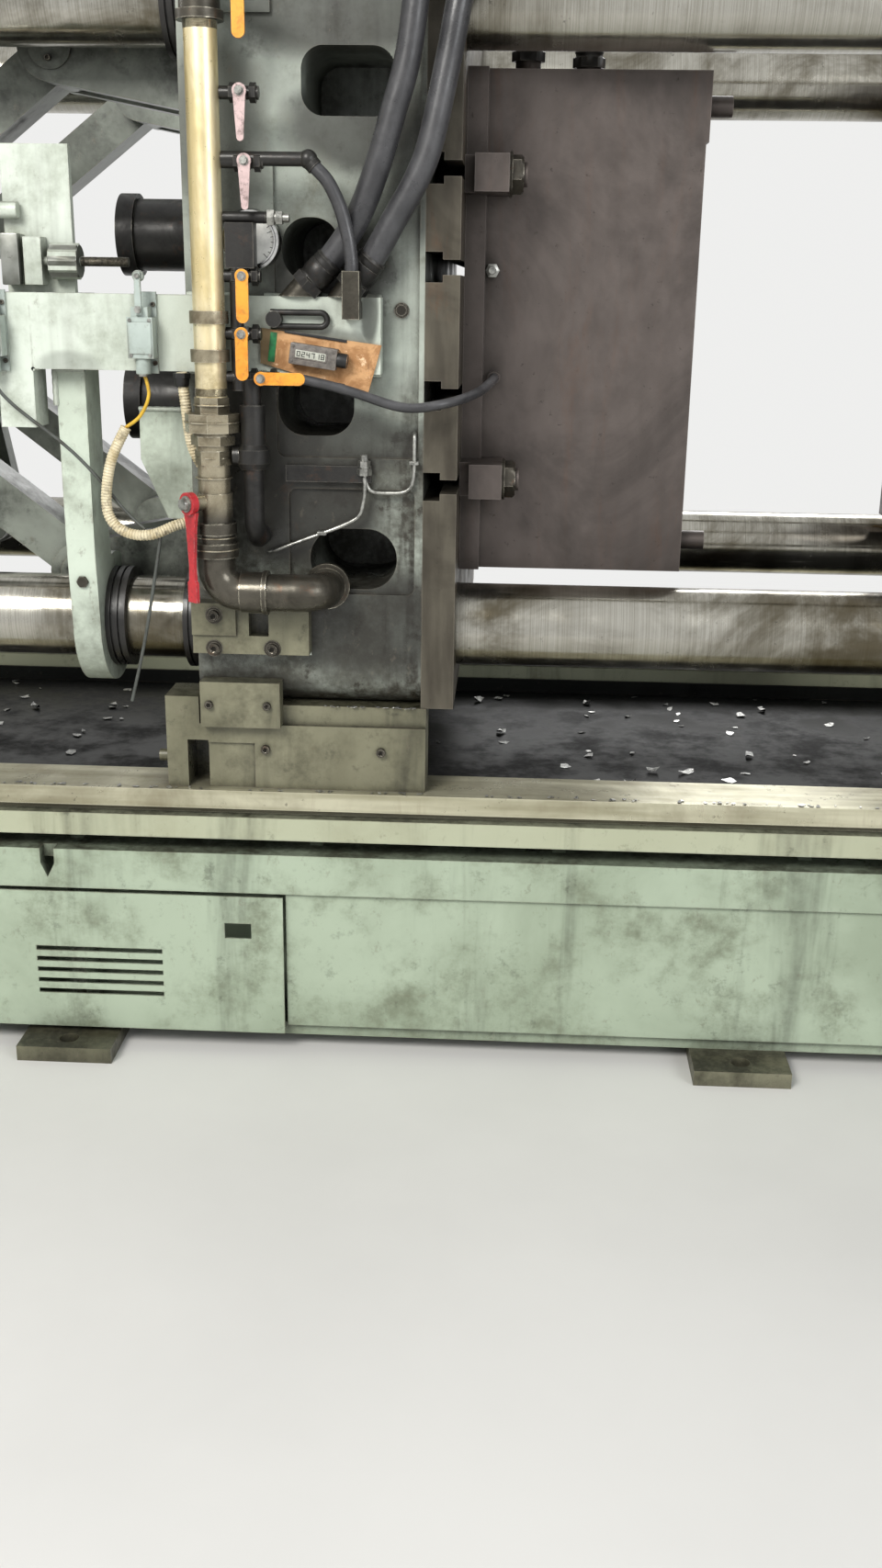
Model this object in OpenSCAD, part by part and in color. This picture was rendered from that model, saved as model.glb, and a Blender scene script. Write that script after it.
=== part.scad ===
// Cold-chamber die casting machine with a double toggle clamp, shown with its die open.
// X runs along the machine towards the injection end, the operator stands at -Y, Z is up.
// The origin is on the floor, below the middle of the machine's length.

/* [Clamp] */
// Centre distance of the tie bars, the same across and up
tie_pitch = 1040; // [1000:10:1100]
// Diameter of a tie bar
tie_d = 150; // [130:2:160]
// Height of the clamp centre line above the floor
centre_h = 1330; // [1300:10:1420]
// Width and height of the moving platen
platen_w = 1300; // [1260:10:1360]
// Thickness of the moving platen's casting
platen_t = 400; // [360:2:440]
// Thickness of the strips that make a platen's die face
face_t = 58; // [44:2:70]
// Thickness of the fixed platen's casting
fixed_platen_t = 242; // [200:2:300]
// Width and height of the fixed platen and the tail platen
end_platen_w = 1360; // [1300:10:1400]
// Thickness of the tail platen's wall
tail_wall_t = 200; // [160:5:240]
// Distance from the platen's rear face back to its toggle pins
platen_ear_l = 270; // [240:2:290]
// Distance from the tail platen's wall forward to its toggle pins
tail_ear_l = 580; // [570:5:640]
// Width of the opening of a T-slot
slot_w = 24; // [18:1:30]
// Width of the inner part of a T-slot
slot_head_w = 48; // [40:1:60]
// Depth of the inner part of a T-slot
slot_head_t = 29; // [20:1:34]

/* [Toggle] */
// Height of the main toggle pins above and below the centre line
main_pin_h = 460; // [440:5:480]
// Length of the rear links, between pins
rear_link_l = 370; // [350:5:380]
// Length of the front links, between pins
front_link_l = 600; // [590:5:640]
// Angle of the folded rear links from their straight position
fold_angle = 100; // [90:1:102]
// Length of the short links between the crosshead and the rear links
short_link_l = 440; // [435:1:460]
// Distance from the tail pin to the pin of the short link on a rear link
third_pin_r = 290; // [270:5:295]
// Height of the crosshead pins above and below the centre line
cross_pin_h = 70; // [66:1:80]
// Diameter of the toggle pins
pin_d = 76; // [60:2:84]
// Radius of the round end of a link
eye_r = 58; // [50:1:60]
// Distance from the centre plane to the inner cheeks of the links
cheek_in = 235; // [230:1:240]
// Thickness of one cheek
cheek_t = 45; // [36:1:48]
// Thickness of a front link
front_link_t = 90; // [80:1:92]
// Thickness of a short link
short_link_t = 80; // [60:1:84]
// Air between neighbouring links
layer_gap = 5; // [5:1:7]
// Diameter of the crosshead's guide rods
guide_rod_d = 50; // [40:2:60]

/* [Closing cylinder] */
// Outer diameter of the closing cylinder
closing_d = 300; // [260:5:340]
// Bore of the closing cylinder
closing_bore = 220; // [180:5:230]
// Length of the closing cylinder behind the tail platen
closing_l = 850; // [820:10:900]
// Diameter of the piston rod
piston_rod_d = 100; // [80:2:120]

/* [Dies] */
// Width and height of the dies
die_w = 860; // [780:10:870]
// Length of the moving die along the machine
moving_die_l = 418; // [380:2:460]
// Height of the dies' upper blocks, above the seam
die_band_h = 114; // [90:2:140]
// Diameter of the dies' guide pins
guide_pin_d = 35; // [28:1:40]
// Length that the guide pins stand out of the moving die
guide_pin_l = 42; // [36:1:60]
// Length of the fixed die along the machine
fixed_die_l = 300; // [260:5:340]

/* [Bed] */
// Height of the slide rails' top above the floor
rail_top = 525; // [510:5:545]
// Thickness of the slide rails
rail_t = 35; // [28:1:42]
// Width of a slide rail
rail_w = 126; // [110:2:140]
// Thickness of the packing under the rails
shim_t = 14; // [10:1:20]
// Thickness of the bed's top flange
flange_t = 43; // [34:1:50]
// Height of the recess under the flange
recess_h = 29; // [20:1:40]
// Height of the bed's side plate
side_plate_h = 77; // [60:1:90]
// Thickness of the bed's side plates and webs
web_t = 25; // [16:1:30]
// Height of the sole plates on the floor
sole_h = 30; // [24:1:40]
// Length of the bed behind the tail platen's wall
bed_tail_l = 160; // [120:10:240]

/* [Injection end] */
// Drop of the shot sleeve below the clamp centre line
shot_drop = 140; // [100:5:200]
// Outer diameter of the shot sleeve
sleeve_d = 150; // [130:2:170]
// Bore of the shot sleeve
sleeve_bore = 90; // [70:2:100]
// Length of the frame between the fixed platen and the shot cylinder
shot_frame_l = 760; // [700:10:800]
// Diameter of the shot cylinder
shot_cyl_d = 280; // [240:5:320]
// Length of the shot cylinder
shot_cyl_l = 900; // [800:10:1000]
// Length of the injection end behind the fixed platen
injection_l = 2300; // [2200:10:2400]
// Width of the injection end's base
base_w = 840; // [800:10:900]
// Height of the hydraulic tank
tank_h = 520; // [460:10:600]
// Width of the hydraulic tank
tank_w = 760; // [700:10:800]
// Diameter of an accumulator bottle
bottle_d = 250; // [200:5:280]
// Height of an accumulator bottle
bottle_h = 1350; // [1200:10:1500]
// Diameter of the pump motor
motor_d = 250; // [220:5:280]

/* [Operator side] */
// Height of the beam on the side of the moving platen
beam_h = 122; // [100:2:140]
// Thickness of the beam, across the machine
beam_t = 40; // [30:2:50]
// Length of the beam behind the platen's rear face
beam_rear_l = 254; // [240:2:300]
// Length of the beam along the platen
beam_front_l = 330; // [220:10:340]
// Thickness of the guide plate that hangs from the beam
guide_plate_t = 50; // [40:1:60]
// Diameter of the upright brass pipe
pipe_d = 52; // [40:1:56]
// Diameter of the small valve pipes
tube_d = 22; // [16:1:26]
// Diameter of the two large hoses
hose_d = 42; // [34:1:48]

/* [Hidden] */
$fn = 72;

// Clearances
fit_gap = 0.3;
die_gap = 0.5;
run_gap = 0.5;

// Toggle geometry, in the plane of the links, measured from the upper tail pin
knee_x = rear_link_l * cos(fold_angle);
knee_drop = rear_link_l * sin(fold_angle);
open_span = knee_x + sqrt(pow(front_link_l, 2) - pow(knee_drop, 2));
stroke = rear_link_l + front_link_l - open_span;
third_x = third_pin_r * cos(fold_angle);
third_drop = third_pin_r * sin(fold_angle);
cross_rise = main_pin_h - cross_pin_h - third_drop;
cross_x = third_x - sqrt(pow(short_link_l, 2) - pow(cross_rise, 2));

// Stations along the machine
machine_l = closing_l + tail_wall_t + tail_ear_l + open_span + platen_ear_l + platen_t + face_t
    + moving_die_l + stroke + die_gap + fixed_die_l + face_t + fixed_platen_t + injection_l;
tail_rear_x = closing_l - machine_l / 2;
tail_wall_x = tail_rear_x + tail_wall_t;
tail_pin_x = tail_wall_x + tail_ear_l;
platen_pin_x = tail_pin_x + open_span;
platen_x = platen_pin_x + platen_ear_l;
face_x = platen_x + platen_t;
die_face_x = face_x + face_t;
die_end_x = die_face_x + moving_die_l;
fixed_die_x = die_end_x + stroke + die_gap;
fixed_face_x = fixed_die_x + fixed_die_l;
fixed_x = fixed_face_x + face_t;
fixed_rear_x = fixed_x + fixed_platen_t;
tail_end_x = -machine_l / 2;
shot_end_x = machine_l / 2;

// Pins of the folded toggle, as points in the XZ plane
tail_pin = [tail_pin_x, centre_h + main_pin_h];
knee_pin = tail_pin + [knee_x, -knee_drop];
third_pin = tail_pin + [third_x, -third_drop];
platen_pin = [platen_pin_x, centre_h + main_pin_h];
cross_pin = [tail_pin_x + cross_x, centre_h + cross_pin_h];

// Tie bars, their nuts and the gear that turns the nuts behind the tail platen
bar_y = tie_pitch / 2;
nut_l = 130;
nut_r = tie_d * 0.78;
bar_end_l = nut_l + 40;
bar_x0 = tail_rear_x - bar_end_l;
bar_x1 = fixed_rear_x + bar_end_l;
ring_teeth = 112;
nut_teeth = 36;
gear_step = 2 * norm([tie_pitch / 2, tie_pitch / 2]) / (ring_teeth + nut_teeth);
gear_t = 40;
ring_rim_w = 46;
nut_slot = [30, 20, 10];

// Layers of the links, measured out from the centre plane
front_in = cheek_in + cheek_t + layer_gap;
front_out = front_in + front_link_t;
cheek2_in = front_out + layer_gap;
cheek_out = cheek2_in + cheek_t;
short_out = cheek_in - layer_gap;
short_in = short_out - short_link_t;
cross_half_w = short_in - layer_gap;
link_waist = 84;
short_eye_r = eye_r - 4;
collar_t = 6;

// Crosshead and guide rods
guide_rod_y = 90;
rod_hold_l = 60;
rod_bore_d = guide_rod_d + 2 * fit_gap;
cross_half_l = 58;
rod_boss_d = 92;

// Closing cylinder
flange_l = 60;
cap_l = 80;
piston_l = 70;

// Platens
platen_r = 60;
end_platen_r = 90;
window_deep = 270;
end_window_deep = 200;
slot_heights = [-255, -103, 103, 255];
pocket_t = 8;
pocket_rim = 9;
// Cored windows in the platen's sides: distance behind the casting's front, height above the
// centre line, width, height of the window, corner radius
platen_windows = [
    [127, 383, 152, 104, 36], [190, 128, 96, 100, 44], [184, -117, 130, 112, 46], [121, -384, 152, 106, 52]
];
// Cored windows in the end platens' sides: height, width, tall
end_windows = [[360, 110, 150], [120, 110, 150], [-120, 110, 150], [-360, 110, 150]];
// Pockets in the platen's sides: rear end, front end, bottom and top, from the rear face and the centre line
pocket_upper = [150, platen_t - pocket_rim, -209, 620];
pocket_lower = [168, platen_t - pocket_rim - 5, -445, -262];
pocket_rear = [20, 272, 267, 480];
pocket_r = 14;

// Dies
die_seam_z = centre_h + die_w / 2 - die_band_h;
die_step = 5;
guide_pin_inset = 52;
pin_hole_gap = 1;
die_foot_w = 28;
die_foot_t = 36;
clamp_l = 110;
clamp_w = 60;
clamp_t = 40;
clamp_bolt_d = 40;
clamp_bolt_l = 30;
cavity_d = 420;
cavity_t = 46;

// Bed
rail_out = end_platen_w / 2 + 6;
rail_z = rail_top - rail_t;
flange_top = rail_z - shim_t;
flange_z = flange_top - flange_t;
plate_top = flange_z - recess_h;
plate_z = plate_top - side_plate_h;
bed_out = rail_out + 6;
bed_x0 = tail_rear_x - bed_tail_l;
bed_x1 = fixed_rear_x;
flange_in = rail_out - rail_w - 30;
bay_count = 8;
bay_l = (bed_x1 - bed_x0 - web_t) / bay_count;
panel_t = 4;
panel_inset = 12;
cross_beam_w = 60;
tray_h = 40;
tray_t = 6;
foot_l = 160;
door_l = 620;
door_x = platen_x - 470;
door_gap = 4;
hinge_r = 8;
hinge_x = door_x - 10;
hinge_y = -bed_out - 8;
hinge_h = 40;
hinge_leaf_l = 30;
hinge_heights = [plate_z - 90, sole_h + web_t + 50];
sole_w = 180;
sole_out = bed_out + 30;
sole_stations = [bed_x0 + sole_w / 2, (bed_x0 + sole_w / 2) / 2, 0, bed_x1 - sole_w / 2];
anchor_d = 36;

// Injection end
shot_z = centre_h - shot_drop;
shot_cyl_x = fixed_rear_x + shot_frame_l;
frame_y = 190;
frame_t = 60;
frame_h = 360;
frame_window = [shot_frame_l - 160, 180];
pour_x = fixed_rear_x + 80;
pour_l = 120;
base_x0 = fixed_rear_x + 20;
base_h = 60;
base_beam_w = 120;
pedestal_x = shot_cyl_x + 100;
pedestal_l = 300;
pedestal_w = 400;
tank_x = fixed_rear_x + 100;
tank_l = shot_frame_l - 20;
lid_out = 20;
manhole_t = 14;
manhole_d = tank_h * 0.62;
breather_in = 90;
breather_h = 60;
breather_d = 80;
lid_t = 16;
bottle_x = shot_end_x - bottle_d / 2 - 60;
motor_x = tank_x + 230;
motor_l = 300;
motor_flange_t = 20;
motor_flange_d = motor_d * 1.2;
motor_body_d = motor_d * 0.84;
fin_t = 6;
fin_l = motor_l - 70;
cowl_l = 70;
fin_count = 24;

// Wiper rings
wiper_l = 36;
wiper_d = tie_d + 34;

// Operator side, along the machine from the platen's rear face and up from the centre line
side_y = platen_w / 2;
beam_out = side_y + beam_t;
beam_x0 = platen_x - beam_rear_l;
beam_x1 = platen_x + beam_front_l;
beam_top = centre_h + 54;
beam_z = beam_top - beam_h;
guide_plate_x = platen_x - 203;
guide_ring_r = tie_d / 2 + 44;
shoe_x0 = platen_x - 61;
shoe_out = rail_out - 21;
shoe_notch = [38, 82, 89];
foot_plate = [-2, 204, -550, -459];
foot_pad = [-2, 76, -516, -459];
foot_hole = [98, 133, -517, -476];
low_box = [8, 151, -684, -601];
gusset_t = 16;
gusset_outline = [[-102, -137], [0, -137], [0, -330], [-58, -327], [-103, -224]];

// Upright pipe with its valve: heights from the centre line
pipe_x = platen_x + 54;
pipe_y = -beam_out - 40;
pipe_z0 = centre_h - 106;
pipe_z1 = centre_h + 455;
elbow_r = 42;
elbow_d = 64;
stub_z = centre_h - 430;
stub_l = 96;
// Rings of the pipe's union and ball valve: height of the top, diameter, number of sides
union_rings = [
    [-106, 58, 6], [-132, 92, 8], [-162, 66, 72], [-168, 74, 6], [-183, 56, 72], [-192, 62, 6],
    [-215, 54, 72], [-262, 60, 72], [-311, 72, 72], [-330, 66, 72], [-345, 76, 72], [-369, 64, 72]
];
valve_z = centre_h - 276;
stem_turn = 40;
stem_l = 48;
lever_t = 12;
lever_head_d = 38;
// Half widths of the red lever down its length
lever_shape = [[-14, 17], [-24, 14], [-42, 11], [-104, 6.5], [-129, 8], [-133, 11.5], [-166, 11.5]];

// Small valves: the stem's distance from the platen's rear face, its height and its length,
// the turn of the lever from hanging, and the width of the lever's tip
valve_y = pipe_y + 6;
small_valves = [
    [117, 500, 26, 0, 20], [116, 355, 26, 0, 11], [121, 255, 26, 0, 11],
    [113, 84, 26, 0, 20], [112, -5, 37, 0, 20], [140, -74, 26, 90, 20]
];
small_lever_l = 72;
small_lever_w = 20;
small_lever_t = 5;
small_stem_d = 10;
small_valve_d = 20;
small_nut_d = 30;
small_nut_t = 10;
column_x = platen_x + 120;
column_d = 42;

// Limit switches on the beam, with their heights from the clamp centre line
switch_plate_t = 6;
switch_body_t = 30;
switch_w = 42;
switch_z0 = -47;
switch_z1 = 18;
switch_neck_h = 16;
switch_gland_l = 25;
switch_gland_d = 24;
switch_arm_l = 66;
switch_roller_d = 18;

// Stroke stop behind the beam's end
stop_box_l = 60;
stop_nut_l = 48;
stop_nut_d = 58;
stop_rod_d = 27;
stop_screw_d = 14;
stop_plate_t = 16;
stop_plate_in = 40;

// Hoses and conduits: diameter and points from the platen's rear face, the centre plane and the centre line
hoses = [
    [hose_d, [
        [208, -680, 71], [240, -683, 104], [289, -692, 169], [324, -700, 249], [350, -705, 331],
        [373, -706, 411], [392, -705, 540], [414, -690, 650], [452, -620, 735], [506, -515, 765],
        [546, -422, 710], [560, -380, 590], [560, -380, 450]
    ]],
    [hose_d, [
        [282, -681, 71], [316, -687, 114], [352, -694, 174], [387, -700, 233], [410, -702, 291],
        [437, -700, 414], [456, -696, 510], [492, -664, 625], [550, -575, 710], [616, -450, 725],
        [658, -350, 660], [668, -310, 560], [668, -310, 450]
    ]],
    [tube_d, [
        [229, -725, 248], [250, -727, 226], [269, -728, 188],
        [281, -728, 145], [286, -728, 110], [286, -728, 94]
    ]],
    [16, [
        [167, -724, -74], [205, -722, -76], [279, -716, -93], [370, -706, -119], [440, -690, -112],
        [490, -620, -98], [514, -530, -82], [514, -458, -82]
    ]]
];
conduits = [
    [18, [
        [-98, -704, -160], [-125, -706, -214], [-137, -706, -276], [-131, -706, -314],
        [-103, -704, -337], [-64, -698, -340], [-26, -683, -326], [0, -671, -320], [19.7, -671, -320]
    ]],
    [18, [
        [-1, -700, -69], [3, -696, -120], [10, -688, -190],
        [30, -672, -238], [36, -667, -260], [36, -667, -275.7]
    ]],
    [6, [[-62, -707, -72], [-56, -707, -106], [-72, -706, -140], [-98, -704, -160]]],
    [6, [
        [-314, -711, -72.3], [-312, -709, -96], [-284, -702, -130], [-208, -692, -192],
        [-160, -690, -240], [-110, -692, -300], [-76, -694, -332]
    ]],
    [6, [[-50, -692, -343], [-60, -692, -400], [-86, -690, -527], [-115, -688, -640]]]
];
cable_sides = 10;

// A block between two corners
module block(x0, x1, y0, y1, z0, z1) {
    translate([x0, y0, z0]) cube([x1 - x0, y1 - y0, z1 - z0]);
}

// A block on the operator side, between y0 and y1: b holds its rear, front, bottom and top
// as measured from the platen's rear face and the centre line
module side_block(b, y0, y1) {
    block(platen_x + b[0], platen_x + b[1], y0, y1, centre_h + b[2], centre_h + b[3]);
}

// A round bar along X
module bar_x(x0, x1, y, z, d) {
    translate([x0, y, z]) rotate([0, 90, 0]) cylinder(h = x1 - x0, d = d);
}

// A round bar along Y
module bar_y(x, z, y0, y1, d) {
    translate([x, y0, z]) rotate([-90, 0, 0]) cylinder(h = y1 - y0, d = d);
}

// A round bar along Z
module bar_z(x, y, z0, z1, d) {
    translate([x, y, z0]) cylinder(h = z1 - z0, d = d);
}

// The children and their mirror image on the far side
module both_sides() {
    children();
    mirror([0, 1, 0]) children();
}

// The children and their mirror image below the clamp centre line
module up_and_down() {
    children();
    mirror_down() children();
}

module mirror_down() {
    translate([0, 0, centre_h]) mirror([0, 0, 1]) translate([0, 0, -centre_h]) children();
}

// Places the children at each tie bar
module at_tie_bars() {
    for (side = [-1, 1], level = [-1, 1])
        translate([0, side * bar_y, centre_h + level * tie_pitch / 2]) children();
}

// A rectangle with round corners, centred
module round_rect(w, h, r) {
    square([w - 2 * r, h], center = true);
    square([w, h - 2 * r], center = true);
    for (x = [-1, 1], y = [-1, 1])
        translate([x * (w / 2 - r), y * (h / 2 - r)]) circle(r = r);
}

// A plate across the machine, from x0 to x1, centred on the clamp
module cross_plate(x0, x1, w, r) {
    translate([x0, 0, centre_h]) rotate([90, 0, 90]) linear_extrude(x1 - x0) round_rect(w, w, r);
}

// Bores for the four tie bars
module tie_bar_bores(x0, x1, d) {
    at_tie_bars() bar_x(x0 - 1, x1 + 1, 0, 0, d);
}

// A profile in the XZ plane, made as thick as y0 to y1
module flat_xz(x, z, y0, y1) {
    translate([x, y1, z]) rotate([90, 0, 0]) linear_extrude(y1 - y0) children();
}

// A turned piece along X: the profile holds distances along the axis and radii
module turned_x(x, y, z, profile) {
    translate([x, y, z]) rotate([0, 90, 0]) rotate_extrude() polygon([for (p = profile) [p[1], p[0]]]);
}

// A turned piece that stands up: the profile holds heights and radii
module turned_z(x, y, z, profile) {
    translate([x, y, z]) rotate_extrude() polygon([for (p = profile) [p[1], p[0]]]);
}

// A quarter bend of pipe in the XZ plane, its corner at x, z, open up and towards +X
module quarter_bend(r, d) {
    rotate([0, 180, 0]) rotate([90, 0, 0])
        rotate_extrude(angle = 90, $fn = 48) translate([r, 0]) circle(d = d);
}

// A flat bar with two round ends in the XZ plane, from pin a to pin b, between y0 and y1
module link(a, b, r, waist, y0, y1) {
    span = norm(b - a);
    turn = atan2(b[1] - a[1], b[0] - a[0]);
    translate([a[0], y1, a[1]]) rotate([90, -turn, 0]) linear_extrude(y1 - y0) {
        circle(r = r);
        translate([span, 0]) circle(r = r);
        translate([0, -waist / 2]) square([span, waist]);
    }
}

// Points of a smooth curve through the route, with two steps for each stretch
function curve(route) = [
    for (i = [0 : len(route) - 2], t = [0, 0.5]) blend(route, i, t),
    route[len(route) - 1]
];

function blend(p, i, t) =
    let (a = p[max(i - 1, 0)], b = p[i], c = p[i + 1], d = p[min(i + 2, len(p) - 1)])
    b + t * (c - a) / 2 + t * t * (a - 2.5 * b + 2 * c - 0.5 * d) + t * t * t * (1.5 * (b - c) + (d - a) / 2);

function unit(v) = v / norm(v);

// Directions along the curve's points; the ends stand square to what they meet
function headings(p, route) = [
    for (i = [0 : len(p) - 1])
        i == 0 ? unit(route[1] - route[0])
        : i == len(p) - 1 ? unit(route[len(route) - 1] - route[len(route) - 2])
        : unit(p[i + 1] - p[i - 1])
];

// A side direction carried from ring to ring without twist
function carried(h, i, side) =
    let (next = square_to(side, h[i]))
    i == len(h) - 1 ? [next] : concat([next], carried(h, i + 1, next));

function square_to(side, along) = unit(side - (side * along) * along);

// A round tube of diameter d along the route
module cable(d, route) {
    p = curve(route);
    h = headings(p, route);
    side = carried(h, 0, [0.3, 0.9, 0.2]);
    n = cable_sides;
    rings = [
        for (i = [0 : len(p) - 1], k = [0 : n - 1])
            p[i] + d / 2 * (cos(360 * k / n) * side[i] + sin(360 * k / n) * cross(h[i], side[i]))
    ];
    walls = [
        for (i = [0 : len(p) - 2], k = [0 : n - 1])
            [(i + 1) * n + k, (i + 1) * n + (k + 1) % n, i * n + (k + 1) % n, i * n + k]
    ];
    ends = [
        [for (k = [0 : n - 1]) k],
        [for (k = [n - 1 : -1 : 0]) (len(p) - 1) * n + k]
    ];
    translate([platen_x, 0, centre_h]) polyhedron(rings, concat(walls, ends));
}

module sole_plates() {
    color("dimgray") for (x = sole_stations) sole_plate(x);
}

// One sole plate across the bed, with an anchor hole near each end
module sole_plate(x) {
    difference() {
        block(x - sole_w / 2, x + sole_w / 2, -sole_out - 40, sole_out + 40, 0, sole_h);
        both_sides() bar_z(x, sole_out, -1, sole_h + 1, anchor_d);
    }
}

module bed_frame() {
    color("darkseagreen") both_sides() difference() {
        bed_side();
        bed_side_cuts();
    }
}

// One side of the bed: flange, web, shelf, side plate, foot and stiffeners
module bed_side() {
    block(bed_x0, bed_x1, flange_in, bed_out, flange_z, flange_top);
    block(bed_x0, bed_x1, flange_in, flange_in + 2 * web_t, sole_h, flange_z + 1);
    block(bed_x0, bed_x1, flange_in, bed_out, plate_top - web_t, plate_top);
    block(bed_x0, bed_x1, bed_out - web_t, bed_out, plate_z, plate_top);
    block(bed_x0, bed_x1, flange_in, bed_out - 20, sole_h, sole_h + web_t);
    for (i = [0 : bay_count]) bed_stiffener(bed_x0 + i * bay_l);
}

// A stiffener with a cut corner below the flange
module bed_stiffener(x) {
    outline = [
        [flange_in, sole_h], [bed_out - 20, sole_h], [bed_out - 20, plate_top], [bed_out - 60, plate_top],
        [bed_out - 90, flange_z + 1], [flange_in, flange_z + 1]
    ];
    translate([x, 0, 0]) rotate([90, 0, 90]) linear_extrude(web_t) polygon(outline);
}

// The notch in the side plate where oil runs off
module bed_side_cuts() {
    translate([platen_x - 302, bed_out + 1, plate_top + 1]) rotate([90, 0, 0]) linear_extrude(web_t + 2)
        polygon([[0, 0], [0, -30], [12, -58], [26, -30], [26, 0]]);
}

module slide_rails() {
    color("darkkhaki") both_sides() {
        block(bed_x0 + 60, fixed_face_x - 60, rail_out - rail_w, rail_out, rail_z, rail_top);
        block(bed_x0 + 60, fixed_face_x - 60, rail_out - rail_w + 20, rail_out - 20, flange_top, rail_z);
    }
}

module bed_panels() {
    color("darkseagreen") {
        both_sides() panel(bed_x0, door_x - door_gap, bed_out);
        panel(door_x - door_gap, door_x + door_l + door_gap, bed_out);
        both_sides() panel(door_x + door_l + door_gap, bed_x1, bed_out);
        for (z = hinge_heights)
            hinge_half(z - hinge_h, z, hinge_x - hinge_leaf_l, hinge_x, -bed_out + panel_inset - panel_t);
    }
}

// One half of a door hinge: a knuckle on the hinge line and the leaf that holds it
module hinge_half(z0, z1, leaf_x0, leaf_x1, leaf_y) {
    bar_z(hinge_x, hinge_y, z0, z1, 2 * hinge_r);
    block(leaf_x0, leaf_x1, hinge_y, leaf_y, z0, z1);
}

// A sheet between the side plate and the foot
module panel(x0, x1, y) {
    block(x0, x1, y - panel_inset, y - panel_inset + panel_t, sole_h + web_t, plate_z);
}

module bed_door() {
    latch_x = door_x + door_l - 110;
    z0 = sole_h + 12;
    color("darkseagreen") {
        difference() {
            block(door_x, door_x + door_l, -bed_out - panel_t, -bed_out, z0, plate_z - 6);
            block(latch_x, latch_x + 50, -bed_out - 10, -bed_out + 10, plate_z - 90, plate_z - 60);
            for (i = [0 : 4]) door_louvre(door_x + 150, z0 + 70 + 22 * i);
        }
        for (z = hinge_heights)
            hinge_half(z + fit_gap, z + hinge_h, hinge_x, door_x + 20, -bed_out - panel_t);
    }
}

module door_louvre(x, z) {
    block(x, x + 240, -bed_out - 10, -bed_out + 10, z, z + 9);
}

module drip_tray() {
    x0 = bed_x0 + 100;
    x1 = bed_x1 - 60;
    y = flange_in - fit_gap;
    end_y = y - tray_t - fit_gap;
    z = plate_top + tray_t;
    z1 = plate_top + tray_h;
    color("darkolivegreen") {
        block(x0, x1, -y, y, plate_top, z);
        both_sides() block(x0, x1, y - tray_t, y, z + fit_gap, z1);
        for (x = [x0, x1 - tray_t]) block(x, x + tray_t, -end_y, end_y, z + fit_gap, z1);
    }
}

// The beams that join the two sides of the bed above the sole plates
module bed_cross_beams() {
    color("darkseagreen") for (x = sole_stations)
        block(x - cross_beam_w / 2, x + cross_beam_w / 2, -flange_in, flange_in, sole_h, plate_top);
}

module tail_platen() {
    color("darkseagreen") difference() {
        union() {
            cross_plate(tail_rear_x, tail_wall_x, end_platen_w, end_platen_r);
            both_sides() platen_foot(tail_rear_x, tail_wall_x, foot_l, rail_top, rail_out - rail_w, rail_out);
        }
        tie_bar_bores(tail_rear_x, tail_wall_x, tie_d + 2 * fit_gap);
        bar_x(tail_rear_x - 1, tail_wall_x + 1, 0, centre_h, piston_rod_d + 2 * run_gap);
        both_sides() {
            bar_x(tail_wall_x - rod_hold_l, tail_wall_x + 1, guide_rod_y, centre_h, rod_bore_d);
            end_platen_windows((tail_rear_x + tail_wall_x) / 2);
        }
    }
}

// The foot of an end platen, which reaches reach further than the wall along +X
module platen_foot(x0, x1, reach, z0, y0, y1) {
    z1 = centre_h - end_platen_w / 2 + 20;
    translate([0, y1, 0]) rotate([90, 0, 0]) linear_extrude(y1 - y0)
        polygon([[x0, z0], [x1 + reach, z0], [x1 + reach, z0 + 50], [x1 + reach / 3, z1], [x0, z1]]);
}

// The cored windows in the sides of an end platen
module end_platen_windows(x) {
    for (w = end_windows)
        flat_xz(x, centre_h + w[0], end_platen_w / 2 - end_window_deep, end_platen_w / 2 + 1)
            round_rect(w[1], w[2], 40);
}

// The single ears on the tail platen that carry the rear links
module tail_brackets() {
    color("darkseagreen") up_and_down() both_sides() difference() {
        tail_ear();
        bar_y(tail_pin[0], tail_pin[1], front_in - 1, front_out + 1, pin_d + 2 * run_gap);
    }
}

module tail_ear() {
    r = eye_r + 6;
    outline = [[-tail_ear_l, 120], [-tail_ear_l, -150], [-60, -50], [0, -r], [0, r], [-60, 60]];
    flat_xz(tail_pin[0], tail_pin[1], front_in, front_out) {
        circle(r = r);
        polygon(outline);
    }
}

module fixed_platen() {
    color("darkseagreen") difference() {
        union() {
            cross_plate(fixed_x, fixed_rear_x, end_platen_w, end_platen_r);
            both_sides() platen_foot(fixed_x, fixed_rear_x, 0, flange_top, flange_in, bed_out);
        }
        tie_bar_bores(fixed_x, fixed_rear_x, tie_d + 2 * fit_gap);
        bar_x(fixed_x - 1, fixed_rear_x + 1, 0, shot_z, sleeve_d + 2 * fit_gap);
        both_sides() end_platen_windows((fixed_x + fixed_rear_x) / 2);
    }
}

module fixed_face_strips() {
    color("tan") difference() {
        face_strips(fixed_face_x, end_platen_w, -1);
        tie_bar_bores(fixed_face_x, fixed_x, tie_d + 2 * fit_gap);
        bar_x(fixed_face_x - 1, fixed_x + 1, 0, shot_z, sleeve_d + 2 * fit_gap);
    }
}

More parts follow.
